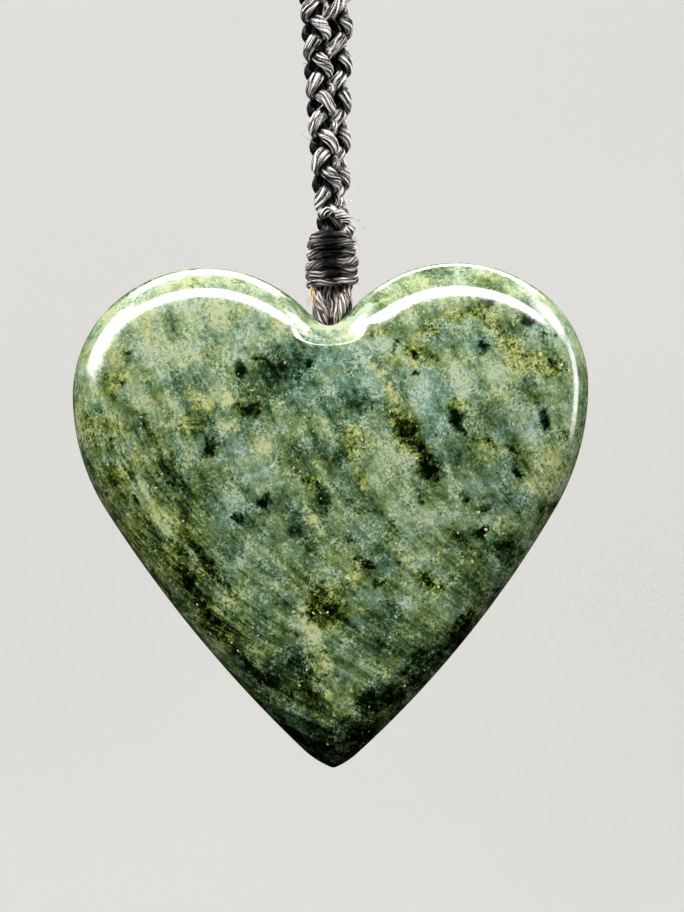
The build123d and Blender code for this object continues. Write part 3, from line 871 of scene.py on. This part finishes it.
def lay_tube(name, line, outward, half_depth, half_width, plies, seed, wear_and_light=1.0):
    """A closed tube along a line, thin along outward, whose skin is ridged by its plies."""
    count = len(line)
    sides = plies[SIDES]

    def column(values):
        return np.broadcast_to(np.asarray(values, float), (count,))[:, None]

    forward = unit(np.gradient(line, axis=0))
    side = unit(np.cross(forward, outward))
    out = np.cross(side, forward)
    travel = travelled(line)
    angles = 2 * math.pi * np.arange(sides) / sides
    shift = (seed * 3.1, seed * 1.7, seed * 5.3)
    sway = noise_row(0, 0, travel * 0.5, shift)
    swell = noise_row(7, 3, travel * 0.35, shift)
    phase = plies[PLY_TURN] * travel + ply_sway * sway
    about = angles[None, :] + phase[:, None]
    valley = 1 - np.abs(np.cos(plies[PLIES] * about / 2))
    size = ((1 + tube_swell * swell[:, None])
            * (1 - plies[PLY_DEPTH] * valley**valley_sharpness))
    depth = column(half_depth)
    width = column(half_width)
    step_out = (np.cos(angles)[None, :] * depth * size)[:, :, None] * out[:, None, :]
    step_side = (np.sin(angles)[None, :] * width * size)[:, :, None] * side[:, None, :]
    skin = line[:, None, :] + step_out + step_side
    vertices = (skin.reshape(-1, 3) * MM).tolist()
    faces = []
    for row in range(count - 1):
        for here in range(sides):
            there = (here + 1) % sides
            low = row * sides
            high = low + sides
            faces.append((low + here, low + there, high + there, high + here))
    faces.append(tuple(reversed(range(sides))))
    faces.append(tuple(range((count - 1) * sides, count * sides)))
    mesh = bpy.data.meshes.new(name)
    mesh.from_pydata(vertices, [], faces)
    mesh.shade_smooth()
    straight = np.zeros((count, sides, 3))
    straight[:, :, 0] = np.cos(about) * np.mean(width) + seed
    straight[:, :, 1] = np.sin(about) * np.mean(width)
    straight[:, :, 2] = travel[:, None]
    write_field(mesh, "fibre", straight)
    # paler along the plies' crests, partly as wear and partly as painted highlight, with painted shade
    # in the valleys between them
    crest_wear_and_light = np.clip(1 - crest_narrowness * valley, 0, 1)
    write_field(mesh, "crest_wear_and_light", (crest_wear_and_light * column(wear_and_light)).ravel())
    tube = bpy.data.objects.new(name, mesh)
    bpy.context.scene.collection.objects.link(tube)
    return tube


# The plaits, as in the solids near the stone, and on round the neck

plait_pitch = 7.4
plait_radius = 1.27
strand_half_depth = 0.40
strand_half_width = 0.66
plait_swell = 0.2  # how much fuller the plaits are above the whipping than in it
inner_track = 0.32
crossing_sharpness = 2.2
pair_half_x = 0.2
pair_clearance = 0.05
untwist_height = 24.5
untwist_power = 0.7
plait_in_whipping = 1.15
plaited_height = 26.1
plaited_step = 0.16
neck_step = 0.5
strand_stand_out = 0.08  # of the outer strands' skin beyond the plait's radius
PLAIT_LEAN = {LEFT: -4.0, RIGHT: 0.9}
PLAIT_TURN = {LEFT: -135.0, RIGHT: -95.0}  # where its first crossing faces, in degrees
PLAIT_SHIFT = {LEFT: 0.7, RIGHT: 0.35}  # how far down its crossings stand from the solids'
# The strands that lean to the left are pale only where they face this far round to the right.
PALE_FROM = {LEFT: (-0.35, 0.25), RIGHT: (0.5, 0.9)}
pair_half_y = math.sqrt((plait_radius + pair_clearance / 2) ** 2 - pair_half_x**2)
PLAIT_START = {LEFT: -pair_half_x, RIGHT: pair_half_x}
PLAIT_FRONT = {LEFT: -pair_half_y, RIGHT: pair_half_y}

# The route of each side round the neck, as distance across and height from the bar:
# a bend above the photographed stretch, straight up to the bar, and over it.
NECK_ROUTE = {
    LEFT: [(-3.8, -287.0), (-13.75, -70.9)],
    RIGHT: [
        (1.5, -287.0),
        (15.4, -31.0),
        (16.5, -11.4),
        (12.3, -3.4),
        (4.5, 1.3),
        (-4.5, 1.3),
        (-12.2, -3.3),
        (-16.5, -11.3),
        (-15.6, -31.0),
        (-13.75, -70.7),
    ],
}


NECK_NODES = {
    LEFT: ["left_neck_cord"],
    RIGHT: ["right_neck_cord", "neck_arch", "right_neck_end"],
}


def plait_centre(side, height):
    """The middle of a plait at a height above the top of the whipping."""
    above = max(height, 0)
    x = whipping_x + PLAIT_START[side] + above * math.tan(math.radians(PLAIT_LEAN[side]))
    turn = min(above / untwist_height, 1) * math.pi / 2
    y = PLAIT_FRONT[side] * max(math.cos(turn), 0) ** untwist_power
    return Vector((x, y, whipping_top + height))


def plait_line(side):
    """The middle of a whole plait, from inside the whipping up to the binding."""
    low = -plait_in_whipping
    steps = 180
    span = plaited_height - low
    near = [plait_centre(side, low + span * step / steps) for step in range(steps + 1)]
    points = [near[-1]] + [Vector((x, 0, z)) for x, z in NECK_ROUTE[side]]
    far = nurbs_line(points)
    near = even_line(near, plaited_step)
    far = even_line(far, neck_step)
    return np.concatenate((near, far[1:]))


STRAND_PLIES = (6, 0.20, 0.35, 40)


def make_plait(side, material):
    """Four strands that cross over each other along one plait."""
    middle = plait_line(side)
    height = travelled(middle) - plait_in_whipping
    forward = unit(np.gradient(middle, axis=0))
    right = unit(np.cross(np.tile((0.0, 1.0, 0.0), (len(middle), 1)), forward))
    back = np.cross(forward, right)
    fuller = plait_swell * smooth_step(0.5, 4.0, height)
    outer_track = plait_radius + strand_stand_out - strand_half_depth + fuller
    track_middle = (inner_track + outer_track) / 2
    track_swing = (outer_track - inner_track) / 2
    for number in (1, 2, 3, 4):
        hand = 1 if number % 2 else -1
        half = number // 3
        phase = 4 * math.pi * (height + PLAIT_SHIFT[side]) / plait_pitch
        over = np.tanh(crossing_sharpness * np.cos(phase)) / math.tanh(crossing_sharpness)
        track = track_middle + hand * track_swing * over
        angle = math.radians(PLAIT_TURN[side]) + hand * phase / 2 + half * math.pi
        outward = np.cos(angle)[:, None] * right + np.sin(angle)[:, None] * back
        line = middle + outward * track[:, None]
        rubbed = noise_row(number * 4.7, half * 9.1, height * 0.9)
        # painted highlight where a strand crosses over the others, painted shade where it passes under
        # them and low down where it goes into the whipping, with random rubbing
        wear_and_light = smooth_step(0.15, 0.7, hand * over + 0.45 * rubbed) * smooth_step(-0.5, 2.0, height)
        # paler only where the strand faces round to the right
        if hand < 0:
            first, full = PALE_FROM[side]
            wear_and_light *= smooth_step(first, full, np.cos(angle))
        strand = lay_tube(f"{side}_plait_strand_{number}", line, outward, strand_half_depth,
                          strand_half_width, STRAND_PLIES, number + (10 if side == LEFT else 20),
                          wear_and_light)
        finish_piece(strand, material, "waxed_cord", f"{side}_strand_{number}", *NECK_NODES[side])


# The doubled cords through the stone

cord_spacing = 0.98
cord_half = 0.5
bend_radius = 0.86
dome_back = 3.66
back_stand_off = 0.5
loop_in_whipping = 3.15
fan_drop = 1.45  # below the whipping, where the outer cords pass in front of the inner ones
mouth_rise = 0.3  # above the hole's mouth, where the cords fall into line
back_rise = 2.6  # above the bend, where the cords leave the back of the stone
row_drop = 0.35  # below the whipping, where the cords behind it fall into a row
BEND_TURNS = (236.7, 286.0, 335.3)  # round the bend behind the stone, in degrees
LOOP_PLIES = (5, 0.28, 0.9, 36)
loop_step = 0.14
loop_fraying = 0.3
bend_fullness = 1.1  # how far outside the bend its control points stand
# Each cord's place in the whipping's row and across the hole, in spacings from the middle,
# its turn outside the inner cords, how far forward it fans, and how soon it draws in.
ROW_PLACE, HOLE_PLACE, OUTER, FAN, DRAWN_IN = range(5)
LOOP_CORDS = [
    (-1.5, -0.5, 1, 1.75, 0.25),
    (-0.5, -0.5, 0, -0.4, 0.6),
    (0.5, 0.5, 0, -0.4, 0.6),
    (1.5, 0.5, 1, 1.75, 0.25),
]


def make_loop_cords(material):
    """Four cords: down into the notch, through the hole, and up again behind the stone."""
    bend_y = dome_back + back_stand_off
    bend_along = (bend_y - hole_mouth_y - hole_radius * hole_side.y) / hole_way.y
    bend_centre = hole_mouth + hole_way * bend_along + hole_side * hole_radius
    loop_top = whipping_bottom + loop_in_whipping
    half = cord_spacing / 2
    for number, cord in enumerate(LOOP_CORDS, start=1):
        row_x = whipping_x + cord[ROW_PLACE] * cord_spacing
        bore_x = hole_x + cord[HOLE_PLACE] * cord_spacing
        radius = bend_radius + cord[OUTER] * cord_spacing
        fan_x = row_x + (bore_x - row_x) * cord[DRAWN_IN]
        points = [
            Vector((row_x, -half, loop_top)),
            Vector((row_x, -half, whipping_bottom)),
            Vector((fan_x, hole_mouth_y - half * cord[FAN], whipping_bottom - fan_drop)),
            Vector((bore_x, bend_centre.y, bend_centre.z)) - hole_side * radius
            - hole_way * (bend_along + mouth_rise),
        ]
        for turn in BEND_TURNS:
            step_y, step_z = across(turn, radius * bend_fullness)
            points.append(Vector((bore_x, bend_centre.y + step_y, bend_centre.z + step_z)))
        points += [
            Vector((row_x, bend_centre.y + radius, bend_centre.z + back_rise)),
            Vector((row_x, half, whipping_bottom - row_drop)),
            Vector((row_x, half, loop_top)),
        ]
        line = even_line(nurbs_line(points), loop_step)
        outward = np.tile((1.0, 0.0, 0.0), (len(line), 1))
        frayed = noise_row(number * 3.3, 5.1, np.arange(len(line)) * 0.16)
        radii = cord_half * (1 + loop_fraying * frayed)
        loop = lay_tube(f"loop_cord_{number}", line, outward, radii, radii, LOOP_PLIES, 30 + number)
        finish_piece(loop, material, "waxed_cord", f"loop_strand_{number}")


# The whipping

thread_depth = 0.60  # through the thread, from what it binds outward
thread_stand_off = 0.275  # of the thread's middle from what it binds
stations_per_turn = 110
thread_half_height = 0.24
thread_spread = 0.26  # how much of a turn's own fall is added to that
thread_slack = 0.22
turn_wander = 0.20
# Where each turn crosses the front, and the ends of the winding, below the whipping's top
TURN_DROPS = (0.36, 0.55, 1.25, 2.2, 3.3, 4.15, 5.0, 5.42)
DOWN, WIDTH_SHARE, DEPTH_SHARE = range(3)
WHIPPING_SHAPE = np.array([
    (0.0, 0.0, 0.0),
    (0.25, 0.45, 0.0),
    (0.55, 1.0, 0.55),
    (1.0, 1.0, 1.0),
])
whipping_clearance = 0.06
top_half_width = plait_radius + pair_half_x + whipping_clearance
top_half_depth = plait_radius + pair_half_y + whipping_clearance
bottom_half_width = 2 * cord_spacing + whipping_clearance
bottom_half_depth = cord_spacing + 4 * whipping_clearance
whipping_corner = 3.0
THREAD_PLIES = (7, 0.30, 0.45, 44)


def make_whipping(material):
    """The waxed thread wound round the plaits and the doubled cords."""
    turns = len(TURN_DROPS) - 2
    count = turns * stations_per_turn
    down = np.linspace(0, 1, count + 1)
    angle = math.pi / 2 - 2 * math.pi * turns * down
    wide_share = np.interp(down, WHIPPING_SHAPE[:, DOWN], WHIPPING_SHAPE[:, WIDTH_SHARE])
    deep_share = np.interp(down, WHIPPING_SHAPE[:, DOWN], WHIPPING_SHAPE[:, DEPTH_SHARE])
    wide = top_half_width + wide_share * (bottom_half_width - top_half_width) + thread_stand_off
    deep = top_half_depth + deep_share * (bottom_half_depth - top_half_depth) + thread_stand_off
    reach = (np.abs(np.cos(angle) / wide) ** whipping_corner
             + np.abs(np.sin(angle) / deep) ** whipping_corner) ** (-1 / whipping_corner)
    slack = noise_row(np.cos(angle) * 1.2, np.sin(angle) * 1.2, down * 9)
    drop = noise_row(np.cos(angle), np.sin(angle) + 9, down * 7)
    reach = reach + thread_slack * slack
    fronts = np.concatenate(([0.0], np.arange(turns) + 0.5, [turns]))
    drops = np.interp(down * turns, fronts, TURN_DROPS)
    z = whipping_top - drops + turn_wander * drop
    tall = thread_half_height + thread_spread * np.gradient(drops, 1 / stations_per_turn)
    line = np.stack((whipping_x + reach * np.cos(angle), reach * np.sin(angle), z), axis=1)
    forward = np.gradient(line, axis=0)
    outward = np.stack((-forward[:, 1], forward[:, 0], np.zeros(len(line))), axis=1)
    rubbed = noise_row(np.arange(len(line)) * 0.035, 2.2, 6.1)
    # painted light: the thread paler where it turns at the left and right, painted shade across the
    # front middle, with random rubbing
    wear_and_light = np.clip(0.05 + 0.95 * np.abs(np.cos(angle)) ** 1.6 + 0.8 * rubbed, 0, 1)
    thread = lay_tube("whipping_thread", line, outward, thread_depth / 2, tall, THREAD_PLIES, 41,
                      wear_and_light)
    finish_piece(thread, material, "waxed_thread", "whipping")


# The thread's arched end, in front of the plaits
TAIL_ROUTE = [
    (-1.1, -1.4, 1.3),
    (-1.0, -2.2, 1.5),
    (-0.5, -2.8, 1.75),
    (0.4, -3.0, 1.75),
    (1.2, -2.7, 1.2),
    (1.75, -2.45, 0.4),
    (1.75, -2.2, -0.3),
    (1.5, -1.7, -0.7),
]
tail_half = 0.44
TAIL_PLIES = (6, 0.40, 2.4, 40)
tail_step = 0.09
tail_lumpiness = 0.8


def make_tail(material):
    points = [Vector((whipping_x + x, y, whipping_top + z)) for x, y, z in TAIL_ROUTE]
    line = even_line(nurbs_line(points), tail_step)
    outward = np.tile((0.0, -1.0, 0.0), (len(line), 1))
    lumps = noise_row(3, 1, np.arange(len(line)) * 0.14)
    half = tail_half * (1 + tail_lumpiness * lumps)
    tail = lay_tube("whipping_tail_thread", line, outward, half, half, TAIL_PLIES, 52)
    finish_piece(tail, material, "waxed_thread", "whipping_tail")


# The binding near the nape
binding_length = 12.0
binding_inner = 1.39
binding_thread = 0.78
binding_stand_off = 0.35
binding_half_depth = 0.33
binding_half_width = binding_thread * 0.53
binding_stations = 60  # to a turn
binding_wear = 0.3
binding_down = 55.0  # from where the cord meets the bar, back down the straight side
left_touch = (-16.26, -15.6)
BINDING_PLIES = (4, 0.22, 0.3, 16)


def make_binding(material):
    """Close turns of thread over the place where the loop's two lengths meet."""
    low, touch = [Vector((x, 0, z)) for x, z in (NECK_ROUTE[LEFT][0], left_touch)]
    way = (touch - low).normalized()
    middle = touch - way * binding_down
    turns = (binding_length - binding_thread) / binding_thread
    count = round(turns * binding_stations)
    share = np.linspace(0, 1, count + 1)
    angle = 2 * math.pi * turns * share
    side = Vector((0, 1, 0)).cross(way)
    radius = binding_inner + binding_stand_off
    along = (share - 0.5) * (binding_length - binding_thread)
    round_it = (np.cos(angle)[:, None] * np.array(side)
                + np.sin(angle)[:, None] * np.array((0.0, 1.0, 0.0)))
    line = np.array(middle) + round_it * radius + along[:, None] * np.array(way)
    binding = lay_tube("nape_thread", line, round_it, binding_half_depth, binding_half_width,
                       BINDING_PLIES, 61, binding_wear)
    finish_piece(binding, material, "waxed_thread", "nape_binding")


# Loose fibres: hairs that stand off the cords, listed or strewn

# Each hair: places across, out from the middle, and up from the middle of the lobes.
HAIRS = [
    [(-1.3, -1.2, 24.7), (-2.1, -1.6, 25.0), (-2.8, -1.5, 25.7)],
    [(-1.2, -1.2, 23.8), (-1.7, -1.7, 24.0), (-1.9, -1.6, 24.5)],
    [(-1.4, -1.2, 25.6), (-2.0, -1.7, 25.4), (-2.5, -1.6, 24.9)],
    [(1.2, -1.0, 19.0), (1.9, -1.4, 19.7), (2.4, -1.3, 18.7)],
    [(1.4, -1.0, 18.4), (1.8, -1.5, 18.3), (1.9, -1.4, 17.2)],
    [(1.8, -1.2, 17.6), (2.8, -1.6, 17.5), (3.2, -1.6, 16.4), (3.9, -1.4, 16.0)],
    [(-2.0, -1.5, 13.0), (-2.5, -1.7, 12.9), (-2.9, -1.6, 12.6)],
    [(-2.1, -1.5, 12.8), (-2.5, -1.8, 12.5), (-2.7, -1.6, 12.2)],
    [(2.1, -1.2, 15.4), (2.6, -1.5, 15.2), (2.9, -1.5, 14.6)],
    [(-1.5, -1.9, 10.7), (-1.2, -2.2, 9.9), (-1.3, -2.0, 9.0)],
    [(1.5, -1.8, 10.6), (1.3, -2.1, 9.8), (1.5, -1.9, 9.1)],
]
HAIR_PLIES = (1, 0.0, 0.0, 5)
hair_step = 0.12
hair_radius = 0.035
strewn_hairs = 90
tuft_hairs = 12


def lay_hair(points, radius, number):
    """One hair, thinner towards its end."""
    line = even_line(nurbs_line([Vector(point) for point in points], 8), hair_step)
    thin = radius * (1 - 0.7 * np.linspace(0, 1, len(line)))
    outward = np.tile((0.31, -0.52, 0.79), (len(line), 1))
    return lay_tube(f"hair_{number}", line, outward, thin, thin, HAIR_PLIES, number)


def strewn_hair():
    """A short hair anywhere on the plaits or the whipping."""
    angle = rng.uniform(0, 2 * math.pi)
    out = Vector((math.cos(angle), math.sin(angle), 0))
    length = rng.uniform(0.5, 1.3)
    if rng.random() < 0.75:
        side = rng.choice((LEFT, RIGHT))
        root = plait_centre(side, rng.uniform(0.5, plaited_height)) + out * plait_radius * 0.85
    else:
        root = Vector((whipping_x + 2.3 * out.x, 1.6 * out.y,
                       whipping_top - rng.uniform(0.2, whipping_height)))
    aside = Vector((-out.y, out.x, rng.uniform(-1.2, 1.2)))
    bend = root + out * length * 0.4 + aside * length * rng.uniform(-0.4, 0.4)
    end = bend + out * length * rng.uniform(0.0, 0.4) + aside * length * rng.uniform(-0.7, 0.7)
    return [root, bend, end]


def join_hairs(hairs, name, slot, material):
    only_select(*hairs)
    bpy.ops.object.join()
    joined = bpy.context.active_object
    joined.name = name
    finish_piece(joined, material, slot)


def make_loose_fibres(material, tuft_material):
    """Stray hairs of the cords, and the golden tuft beside the doubled cords."""
    routes = [[Vector((x, y, stone_z + z)) for x, y, z in hair] for hair in HAIRS]
    routes += [strewn_hair() for _ in range(strewn_hairs)]
    hairs = [lay_hair(route, hair_radius, number) for number, route in enumerate(routes)]
    join_hairs(hairs, "loose_fibres", "waxed_cord", material)
    tuft = []
    for number in range(tuft_hairs):
        top = Vector((-1.75 + rng.uniform(-0.15, 0.1), -1.25, whipping_bottom + 0.3))
        bend = top + Vector((rng.uniform(-0.45, 0.1), rng.uniform(-0.4, 0), -1.0))
        end = bend + Vector((rng.uniform(-0.2, 0.5), rng.uniform(-0.2, 0.1),
                             rng.uniform(-1.0, -0.4)))
        tuft.append(lay_hair([top, bend, end], hair_radius * 1.5, number))
    join_hairs(tuft, "frayed_tuft", "waxed_thread", tuft_material)


# The studio

def make_stage():
    """A pale round floor that rises all round as a smooth wall."""
    floor_z = -1600.0
    wall_height = 3600.0
    flat = 2600.0
    cove = 1100.0
    cove_steps = 12
    rings = []
    for radius in (400.0, 1200.0, 2000.0, flat):
        rings.append((radius, floor_z))
    for step in range(1, cove_steps + 1):
        turn = math.radians(90 * step / cove_steps)
        rings.append((flat + cove * math.sin(turn), floor_z + cove * (1 - math.cos(turn))))
    rings.append((flat + cove, floor_z + wall_height))
    count = 96
    places = [[(*across(360 * number / count, radius), z) for number in range(count)]
              for radius, z in reversed(rings)]
    floor = extrude_through("floor", places, "face")
    only_select(floor)
    bpy.ops.object.shade_smooth_by_angle(angle=smooth_below)
    look = Finish("pale_floor")
    cloud = look.grain(look.node("ShaderNodeTexCoord").outputs["Object"], 2.5, 1.0)
    # a floor that glows a little is lit evenly, without grain
    look.shade(Base_Color=look.mix(cloud, paint(140, 139, 136), paint(146, 145, 142)),
               Emission_Color=look.mix(cloud, paint(226, 224, 219), paint(234, 232, 228)),
               Emission_Strength=0.6, Roughness=0.9)
    look.material.cycles.emission_sampling = "NONE"
    floor.data.materials.append(look.material)
    floor.visible_glossy = False
    floor.visible_diffuse = False
    return floor


# Each light: its direction from the stone, as degrees up from the right round the picture and
# degrees away from the camera, its distance, its width and height, and its radiance.
AROUND, AWAY, DISTANCE, LIGHT_WIDTH, LIGHT_HEIGHT, RADIANCE = range(6)
LIGHTS = {
    "front_strip": (90, 47, 1.20, 2.0, 0.44, 24.0),
    "back_strip": (90, 123, 0.92, 1.3, 0.42, 28.0),
    "left_panel": (146, 70, 1.30, 1.30, 1.75, 8.5),
    "right_panel": (44, 86, 1.25, 0.80, 1.40, 8.0),
    "right_glow": (8, 86, 1.30, 1.20, 0.85, 6.0),
}
soft_edge = 0.32  # the share of a light's width over which it fades at each side
stage_light_power = 230.0
stage_light_size = 6.0
stage_light_height = 3.0
room_glow = 0.12


def soften_light(lamp):
    """Fade a light towards its edges, as a softbox does."""
    lamp.data.use_nodes = True
    look = Nodes(lamp.data.node_tree)
    place = look.node("ShaderNodeNewGeometry").outputs["Parametric"]
    parts = look.node("ShaderNodeSeparateXYZ", {0: place})
    fades = []
    for part in parts.outputs[:2]:
        aside = look.math("ABSOLUTE", look.math("SUBTRACT", part, 0.5))
        fades.append(look.ramp(aside, 0.5, 0.5 - soft_edge))
    look.feed(look.tree.nodes["Emission"].inputs["Strength"], look.math("MULTIPLY", *fades))


def hang_light(name, where, width, height, power):
    bpy.ops.object.light_add(type="AREA", location=where)
    lamp = bpy.context.active_object
    lamp.name = name
    lamp.data.shape = "RECTANGLE"
    lamp.data.size = width
    lamp.data.size_y = height
    lamp.data.energy = power
    lamp.visible_camera = False
    return lamp


def make_lights(stage):
    aim = Vector((0, 0, (stone_z - 5) * MM))
    for name, light in LIGHTS.items():
        flat = math.sin(math.radians(light[AWAY]))
        step_x, step_z = across(light[AROUND], flat)
        way = Vector((step_x, -math.cos(math.radians(light[AWAY])), step_z))
        where = aim + way * light[DISTANCE]
        width, height = light[LIGHT_WIDTH], light[LIGHT_HEIGHT]
        lamp = hang_light(name, where, width, height, light[RADIANCE] * math.pi * width * height)
        upward = Vector((0, -1, 0))
        side = upward.cross(way).normalized()
        matrix = Matrix((side, way.cross(side), way)).transposed().to_4x4()
        lamp.matrix_world = Matrix.Translation(where) @ matrix
        soften_light(lamp)
    lamp = hang_light("stage_light", (0, 0, stage_light_height), stage_light_size,
                      stage_light_size, stage_light_power)
    lit_stage = bpy.data.collections.new("lit_stage")
    lit_stage.objects.link(stage)
    lamp.light_linking.receiver_collection = lit_stage
    world = bpy.data.worlds.new("soft_room")
    bpy.context.scene.world = world
    world.use_nodes = True
    room = world.node_tree.nodes["Background"].inputs
    room["Color"].default_value = (1.0, 0.99, 0.97, 1.0)
    room["Strength"].default_value = room_glow
    world.cycles_visibility.glossy = False
    bpy.context.scene.view_settings.view_transform = "Standard"


def make_camera():
    """Level with the heart, facing its front, framed as in the photograph."""
    picture_middle = (1.07, stone_z - 5.62)
    picture_height = 89.06
    distance = 450.0
    bpy.ops.object.camera_add(
        location=(picture_middle[0] * MM, -distance * MM, picture_middle[1] * MM),
        rotation=(math.radians(90), 0, 0),
    )
    camera = bpy.context.active_object
    camera.data.lens = camera.data.sensor_width * distance / picture_height
    bpy.context.scene.camera = camera


make_camera()
# the pale colours stand for worn fibre and for painted highlights on the crests
cord_finish = waxed("waxed_cord", paint(2, 2, 2), paint(238, 232, 227), 1.4, 0.06)
loop_finish = waxed("rubbed_cord", paint(9, 7, 6), paint(226, 211, 204), 1.7, 0.15)
thread_finish = waxed("waxed_thread", paint(3, 2, 2), paint(226, 217, 211), 1.8, 0.075)
tail_finish = waxed("frayed_thread", paint(12, 9, 8), paint(246, 240, 228), 1.6, 0.175)
tuft_finish = waxed("golden_fibre", paint(130, 104, 66), paint(226, 200, 150), 1.6, 0.15)
heart = make_stone()
chart_figure(heart)
finish_piece(heart, greenstone(), "greenstone", "heart_stone")
make_loop_cords(loop_finish)
make_plait(LEFT, cord_finish)
make_plait(RIGHT, cord_finish)
make_whipping(thread_finish)
make_tail(tail_finish)
make_binding(thread_finish)
make_loose_fibres(tail_finish, tuft_finish)
make_lights(make_stage())
